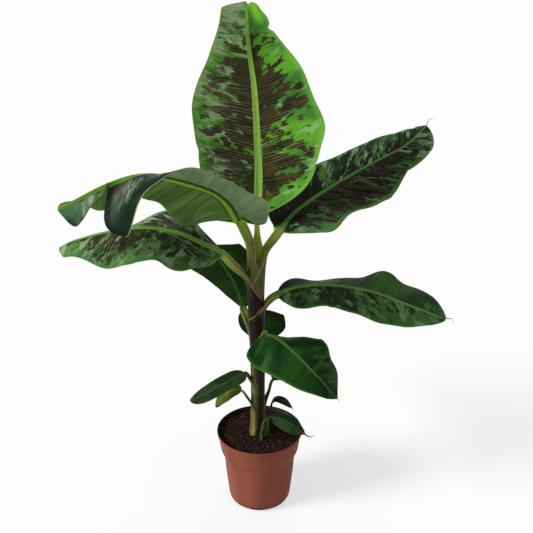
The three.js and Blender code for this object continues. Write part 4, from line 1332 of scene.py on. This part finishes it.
class BANANA_OT_stalks(bpy.types.Operator):
    """Draw each leaf's channelled stalk out of the sheath that wraps the stem"""
    bl_idname = "banana.stalks"
    bl_label = "Leaf stalks"

    def execute(self, context):
        finish = stalk_finish()
        for leaf in LEAVES:
            grid = (56, 80) if leaf["stalk_radii"][0] > LARGE_STALK else (28, 40)
            stalk = shaped_grid(leaf["name"] + "_channelled_stalk", *grid,
                                lambda u, v, leaf=leaf: self.place(leaf, u, v))
            merge(stalk, 0.001)
            smooth(stalk, 60)
            stalk.data.materials.append(finish)
            settle(stalk, "stalk", leaf["name"] + "_stalk")
        return {"FINISHED"}

    def place(self, leaf, u, v):
        spine = Spine(leaf)
        first, last = leaf["stalk_radii"]
        share = np.clip(v, 0, 1)
        length = share * (spine.start + 0.03 * spine.blade)
        point, _, up, right = spine.at(length)
        angle = 2 * math.pi * u
        from_under = (np.degrees(angle) + 90 + 180) % 360 - 180
        from_top = (180 - np.abs(from_under)) / CHANNEL_HALF
        inside = np.clip(1 - from_top**2, 0, 1)
        lip = np.exp(-((from_top - 1.06) / 0.1) ** 2)
        ends = np.clip(np.minimum(v / 0.01, (1 - v) / 0.06), 0, 1) ** 0.5
        grooves = 1 + 0.018 * np.sin(13 * angle) + 0.012 * np.sin(29 * angle + 1.0)
        hollow = 1 - CHANNEL_DEPTH * inside + LIP_HEIGHT * lip
        radius = (first + (last - first) * share) * hollow * ends * grooves
        points = point + right * (radius * np.cos(angle))[:, None] + up * (radius * np.sin(angle))[:, None]
        light = np.array(STALK_LIGHTS.get(leaf["name"], YOUNG_STALK))
        root = np.tile(light, (len(u), 1))
        joined = np.zeros(len(u))
        sheath = SHEATHS.get(leaf["name"])
        if sheath:
            # the stalk eases out of the sheath's shape and colours over this length
            out_of_stem = max(0.8 * spine.start, 55)
            ease = np.clip((length - 0.1 * out_of_stem) / (0.9 * out_of_stem), 0, 1)
            ease = (ease * ease * (3 - 2 * ease))[:, None]
            around, clasping = self.wrapped(sheath, point[:, 2], from_under, inside, share, ends)
            points = clasping * (1 - ease) + points * ease
            # where it wraps the stem the stalk takes the stem's colours, the painted shade on the lower
            # stem's one side included
            root = sheath_skin(around, np.minimum(point[:, 2], sheath["top"] - 4))[0]
            joined = 1 - np.clip((length - 0.25 * out_of_stem) / (0.7 * out_of_stem), 0, 1)
        rib = np.array(tones_of(leaf)["rib"])
        fade = np.clip(np.minimum(share * 4, (1 - share) * 5), 0, 1)
        bright = fade * (1 if leaf["name"] in STALK_LIGHTS else 0.12)
        attributes = {
            "share": share,
            "lip": lip * bright,
            "inside": np.clip(inside * 2, 0, 1) * bright,
            "joined": joined,
            "shade": light + np.clip(share * 3 - 2, 0, 1)[:, None] * (rib - light),
            "root": root,
        }
        return points, np.column_stack([angle * last, length]), attributes

    def wrapped(self, sheath, z, from_under, inside, share, ends):
        """The section of a sheath that clasps the stem: its back outside, its two margins round the sides."""
        middle, radius = stem_form(z)
        fall = np.clip((sheath["top"] - z) / sheath["drop"], 0, 0.5)
        clasp = sheath["spread"] + (180 - sheath["spread"]) * fall**1.25
        turn = np.radians(sheath["azimuth"] - clasp * np.clip(from_under / (180 - CHANNEL_HALF), -1, 1))
        reach = (radius + np.interp(share, [0, 0.12], [-1.0, 0.6]) - 0.45 * radius * inside) * ends
        return turn, np.column_stack([middle + reach * np.cos(turn), reach * np.sin(turn), z])


class BANANA_OT_blades(bpy.types.Operator):
    """Spread each leaf's blade by the rule of the solids, with its midrib, waves and tear"""
    bl_idname = "banana.blades"
    bl_label = "Leaf blades"

    def execute(self, context):
        settings = context.scene.banana_leaves
        for seed, leaf in enumerate(LEAVES):
            spine = Spine(leaf)
            parts = []
            for section in leaf.get("sections", [{**WHOLE, **leaf}]):
                part = shaped_grid(leaf["name"] + "_part", BLADE_COLUMNS, self.rows(spine, section, settings),
                                   lambda u, v, s=section: self.place(leaf, s, spine, u, v, seed, settings))
                parts.append(part)
            blade = join(parts, leaf["name"] + "_veined_blade")
            if len(parts) > 1:
                merge(blade, SEWN_GAP, closed=False)
            tones = tones_of(leaf)
            spacing = settings.vein_spacing * (1 if spine.blade > LARGE_BLADE else 0.6)
            blade.data.materials.append(upper_finish(leaf["name"], tones, seed * 4.7, spacing))
            blade.data.materials.append(under_finish(leaf["name"], tones, spacing * 0.6))
            self.thicken(blade, leaf, spine, settings)
            smooth(blade, 50)
            nodes = [n for n in frame["nodes"] if n.startswith(leaf["name"]) and n.endswith("_blade")]
            settle(blade, self.slot_of(nodes[0]), *nodes)
        return {"FINISHED"}

    def slot_of(self, node):
        return next(p["material_slot"] for p in frame["record"]["subparts"] if p["node"] == node)

    def rows(self, spine, section, settings):
        length = spine.blade * MM * (section["to"] - section["from"])
        return max(int(length / settings.step), LEAST_ROWS)

    def rib_half(self, leaf, s):
        """Half the midrib's width: it narrows towards the tip, and at the foot it is as wide as the stalk."""
        wide = tones_of(leaf)["rib_width"]
        foot = (1 - wide) * np.exp(-s / 0.04) if wide < 1 else 0
        tip = np.where(s > 0.9, 1 - 4 * (s - 0.9), 1)
        return leaf["stalk_radii"][1] * ((1 - 0.66 * s) * wide * tip + foot)

    def place(self, leaf, section, spine, u, v, seed, settings):
        side = np.where(u < 0.5, -1.0, 1.0)
        w = np.abs(2 * u - 1)
        s = section["from"] + v * (section["to"] - section["from"])
        width = half_width(section, s, side)
        rib = self.rib_half(leaf, s)
        near = np.minimum(RIB_REACH * rib / width, 0.35)
        t = np.where(w < RIB_COLUMNS, near * w / RIB_COLUMNS,
                     near + (1 - near) * (w - RIB_COLUMNS) / (1 - RIB_COLUMNS))
        cut = np.zeros(len(u))
        for at_side, station, stretch, deep in NICKS.get(leaf["name"], []):
            cut += np.where(side == at_side, deep * np.exp(-((s - station) / stretch) ** 2), 0)
        trim = 1 - np.clip(cut / np.maximum(width, 8), -0.3, 0.6) * t**3
        points, along, up, _ = blade_points(leaf, section, spine, s, side, t * trim)
        deep, half, aside = TIP_CUTS.get(leaf["name"], (0, 1, 0))
        from_cut = (side * w * width - aside) / half
        slit = deep * np.exp(-from_cut**2) * np.clip((s - 0.9) / 0.1, 0, 1) ** 2
        length = spine.start + s * spine.blade
        wave = settings.wave / MM * min(spine.blade / 300, 1) * t**2
        ripple = 0.6 * wave * np.sin(length / RIPPLE_LENGTH + side * 1.3 + seed)
        swell = wave * np.sin(length / WAVE_LENGTH - side * 2.1 + seed * 2)
        pleat = PLEAT_HEIGHT * np.sin((length - 0.12 * t * width) / PLEAT_LENGTH + side)
        pleat *= np.clip(t * 6, 0, 1) * (1 - t)
        points = points - along * slit[:, None] + up * (ripple + swell + pleat)[:, None]
        patchy = tones_of(leaf)["patchy"]
        marks = {kind: self.spots(places.get(leaf["name"], []), s, side, t) for kind, places in MARKS.items()}
        marks["dry"] = np.maximum(marks["dry"], self.dry_end(leaf, s, t))
        attributes = {
            "edge": t,
            "rib": np.clip(1 - t * width / (rib * 1.02), 0, 1),
            "patchy": np.where(side < 0, smooth_read(patchy["left"], s), smooth_read(patchy["right"], s)),
            "deepen": tones_of(leaf)["deepen"] * np.clip((0.82 - s) / 0.08, 0.15, 1),
            **marks,
            "crease": self.creases(leaf, spine, s, side, t * width),
        }
        return points, np.column_stack([side * t * width, length]), attributes

    def dry_end(self, leaf, s, t):
        """How brown and dry a blade is towards its tip."""
        start = DRY_FROM.get(leaf["name"])
        if not start:
            return np.zeros(len(s))
        return np.clip((s + 0.05 * t - start) / (1.02 - start) * 1.8, 0, 1)

    def creases(self, leaf, spine, s, side, reach):
        """How near a place is to one of the creases, in the blade's own flat map."""
        near = np.zeros(len(s))
        whole = {**WHOLE, **leaf}
        for at_side, s0, t0, s1, t1, wide in CREASES.get(leaf["name"], []):
            ends = []
            for station, share in ((s0, t0), (s1, t1)):
                width = half_width(whole, np.array([station]), np.array([at_side]))[0]
                ends.append(np.array([station * spine.blade, share * width]))
            way = ends[1] - ends[0]
            places = np.column_stack([s * spine.blade, reach]) - ends[0]
            along = np.clip(places @ way / (way @ way), 0, 1)
            away = np.linalg.norm(places - along[:, None] * way, axis=1)
            near = np.maximum(near, np.where(side == at_side, np.exp(-((away / wide) ** 2)), 0))
        return near

    def spots(self, places, s, side, t):
        shade = np.zeros(len(s))
        for at_side, station, reach, size in places:
            away = np.hypot((s - station) * MARK_LENGTH, (t - reach) * MARK_HALF) / size
            shade = np.maximum(shade, np.where(side == at_side, np.clip(1.5 - away, 0, 1), 0))
        return shade

    def thicken(self, blade, leaf, spine, settings):
        """Gives the sheet its thickness and raises the midrib, mostly below."""
        choose(blade)
        mesh = blade.data
        count = len(mesh.vertices)
        wall = blade.modifiers.new("thickness", "SOLIDIFY")
        wall.thickness = settings.thickness * (1 if spine.blade > LARGE_BLADE else 0.7)
        wall.offset = 0
        wall.use_rim = True
        wall.material_offset = 1
        wall.material_offset_rim = 1
        bpy.ops.object.modifier_apply(modifier=wall.name)
        points = read(mesh.vertices, "co", 3)
        ribness = read(mesh.attributes["rib"].data, "value")
        down = unit(points[count:] - points[:count])
        profile = np.sqrt(np.clip(1 - (1 - ribness) ** 2, 0, 1))
        rise = self.rib_half(leaf, self.station_of(mesh, spine)) * MM * profile
        points[count:] += down * RIB_BELOW * rise[count:, None]
        points[:count] -= down * RIB_ABOVE * rise[:count, None]
        mesh.vertices.foreach_set("co", points.ravel())
        mesh.update()

    def station_of(self, mesh, spine):
        """The station of each vertex, read back from the map."""
        corners = read(mesh.loops, "vertex_index", kind=int)
        lengths = np.zeros(len(mesh.vertices))
        lengths[corners] = read(mesh.uv_layers.active.data, "uv", 2)[:, 1] / MM
        return np.clip((lengths - spine.start) / spine.blade, 0, 1)


# Dry threads that end some of the leaves: points in millimetres from the tip outwards, and the first radius
DRY_TIPS = {
    "upper_right_dry_tip": ([[353, 159, 816], [357, 160, 829], [359, 160, 836], [366, 160, 839],
                             [372, 160, 837]], 0.9),
    "right_dry_tip": ([[370, -69, 481], [378, -70, 481], [385, -70, 481], [389, -70, 475],
                       [391, -70, 466]], 1.0),
    "front_dry_tip": ([[154, -125, 335], [159, -126, 329], [163, -126, 322]], 1.1),
    "sucker_dry_tip": ([[95, -55, 201], [103, -57, 194], [111, -58, 192], [120, -58, 196]], 2.0),
    "sucker_upper_dry_tip": ([[70, -11, 238], [74, -12, 233], [76, -13, 227]], 0.9),
}


class BANANA_OT_tips(bpy.types.Operator):
    """End some leaves in a dry, curled thread"""
    bl_idname = "banana.tips"
    bl_label = "Dry tips"

    def execute(self, context):
        finish = dry_finish()
        for name, (points, radius) in DRY_TIPS.items():
            alone()
            bpy.ops.curve.primitive_nurbs_path_add()
            line = context.object
            line.name = name
            line.data.splines.clear()
            spline = line.data.splines.new("NURBS")
            spline.points.add(len(points) - 1)
            for i, point in enumerate(points):
                spline.points[i].co = (*(c * MM for c in point), 1)
                spline.points[i].radius = 1 - 0.85 * i / (len(points) - 1)
            spline.use_endpoint_u = True
            spline.order_u = 3
            line.data.bevel_depth = radius * MM
            line.data.bevel_resolution = 3
            line.data.use_fill_caps = True
            choose(line)
            bpy.ops.object.convert(target="MESH")
            tip = context.object
            bpy.ops.object.transform_apply(location=True, rotation=True, scale=True)
            smooth(tip, 60)
            tip.data.materials.append(finish)
            settle(tip, "yellow_blade")
        return {"FINISHED"}


# The studio: lengths in metres and angles in degrees. The lamps face a point halfway up the plant.
CAMERA = {"place": (0.0158, -1.3331, 1.0853), "tilt": 68.68, "lens": 47.28, "sensor": 36}
LAMP_AIM = (0, 0, 0.55)
LAMPS = {
    "key": {"place": (-2.5, -0.9, 2.1), "softness": 20, "power": 3.1},
    "back": {"place": (0.6, 2.2, 2.2), "softness": 40, "power": 0.3},
}
SKY_LIGHT = 0.3
BACKDROP = (0.97, 0.97, 0.97, 1.0)
FLOOR_SIZE = 60
FLOOR_GLOW = 0.56
FLOOR_GLOW_SEEN = 0.08


class BANANA_OT_studio(bpy.types.Operator):
    """Set up the pale floor, the soft lights and the camera"""
    bl_idname = "banana.studio"
    bl_label = "Studio"

    def execute(self, context):
        settings = context.scene.banana_studio
        context.scene.view_settings.view_transform = "Standard"
        self.lay_floor(settings)
        context.scene.world = self.make_world(settings)
        for name, lamp in LAMPS.items():
            self.hang(name, lamp, settings)
        bpy.ops.object.camera_add(location=CAMERA["place"], rotation=(math.radians(CAMERA["tilt"]), 0, 0))
        camera = context.object
        camera.name = "studio_camera"
        camera.data.sensor_width = CAMERA["sensor"]
        camera.data.lens = CAMERA["lens"]
        context.scene.camera = camera
        return {"FINISHED"}

    def lay_floor(self, settings):
        alone()
        bpy.ops.mesh.primitive_plane_add(size=FLOOR_SIZE, location=(0, 0, 0))
        floor = bpy.context.object
        floor.name = "studio_floor"
        paint = Finish("studio_floor", 1.0, 0.0)
        paint.shader.inputs["Emission Color"].default_value = (1, 1, 1, 1)
        seen = paint.add("ShaderNodeLightPath")
        glow = paint.maths("MULTIPLY_ADD", seen, FLOOR_GLOW_SEEN, FLOOR_GLOW)
        paint.put(paint.shader.inputs["Emission Strength"], glow)
        floor.data.materials.append(paint.done(tuple(settings.floor_colour)))

    def make_world(self, settings):
        """A soft white sky that lights the plant, with a pale backdrop in its place for the camera."""
        world = bpy.data.worlds.new("studio")
        world.use_nodes = True
        nodes, links = world.node_tree.nodes, world.node_tree.links
        light = nodes["Background"]
        light.inputs[0].default_value = (1.0, 1.0, 1.0, 1.0)
        light.inputs[1].default_value = SKY_LIGHT * settings.light
        backdrop = nodes.new("ShaderNodeBackground")
        backdrop.inputs[0].default_value = BACKDROP
        seen = nodes.new("ShaderNodeLightPath")
        both = nodes.new("ShaderNodeMixShader")
        links.new(seen.outputs["Is Camera Ray"], both.inputs[0])
        links.new(light.outputs[0], both.inputs[1])
        links.new(backdrop.outputs[0], both.inputs[2])
        links.new(both.outputs[0], nodes["World Output"].inputs["Surface"])
        return world

    def hang(self, name, lamp, settings):
        bpy.ops.object.light_add(type="SUN", location=lamp["place"])
        sun = bpy.context.object
        sun.name = "studio_" + name
        sun.data.angle = math.radians(lamp["softness"])
        sun.data.energy = lamp["power"] * settings.light
        sun.rotation_euler = (Vector(LAMP_AIM) - sun.location).to_track_quat("-Z", "Y").to_euler()


class BANANA_PT_panel(bpy.types.Panel):
    """Sizes, colours and the steps that build the plant"""
    bl_idname = "BANANA_PT_panel"
    bl_label = "Banana Plant"
    bl_space_type = "VIEW_3D"
    bl_region_type = "UI"
    bl_category = "Banana Plant"

    def draw(self, context):
        for group in GROUPS:
            settings = getattr(context.scene, group)
            box = self.layout.box()
            for key in settings.bl_rna.properties.keys():
                if key not in {"rna_type", "name"}:
                    box.prop(settings, key)
        for step in STEPS:
            self.layout.operator(step.bl_idname)


GROUPS = {
    "banana_pot": PotSettings,
    "banana_soil": SoilSettings,
    "banana_leaves": LeafSettings,
    "banana_studio": StudioSettings,
}
STEPS = [BANANA_OT_studio, BANANA_OT_pot, BANANA_OT_soil, BANANA_OT_stem, BANANA_OT_stalks, BANANA_OT_blades,
         BANANA_OT_tips]


def register():
    for cls in [*GROUPS.values(), *STEPS, BANANA_PT_panel]:
        bpy.utils.register_class(cls)
    for name, cls in GROUPS.items():
        setattr(bpy.types.Scene, name, bpy.props.PointerProperty(type=cls))


def unregister():
    for name in GROUPS:
        delattr(bpy.types.Scene, name)
    for cls in reversed([*GROUPS.values(), *STEPS, BANANA_PT_panel]):
        bpy.utils.unregister_class(cls)


def main():
    register()
    bpy.ops.banana.studio()
    bpy.ops.banana.pot()
    bpy.ops.banana.soil()
    bpy.ops.banana.stem()
    bpy.ops.banana.stalks()
    bpy.ops.banana.blades()
    bpy.ops.banana.tips()


if __name__ == "__main__":
    main()
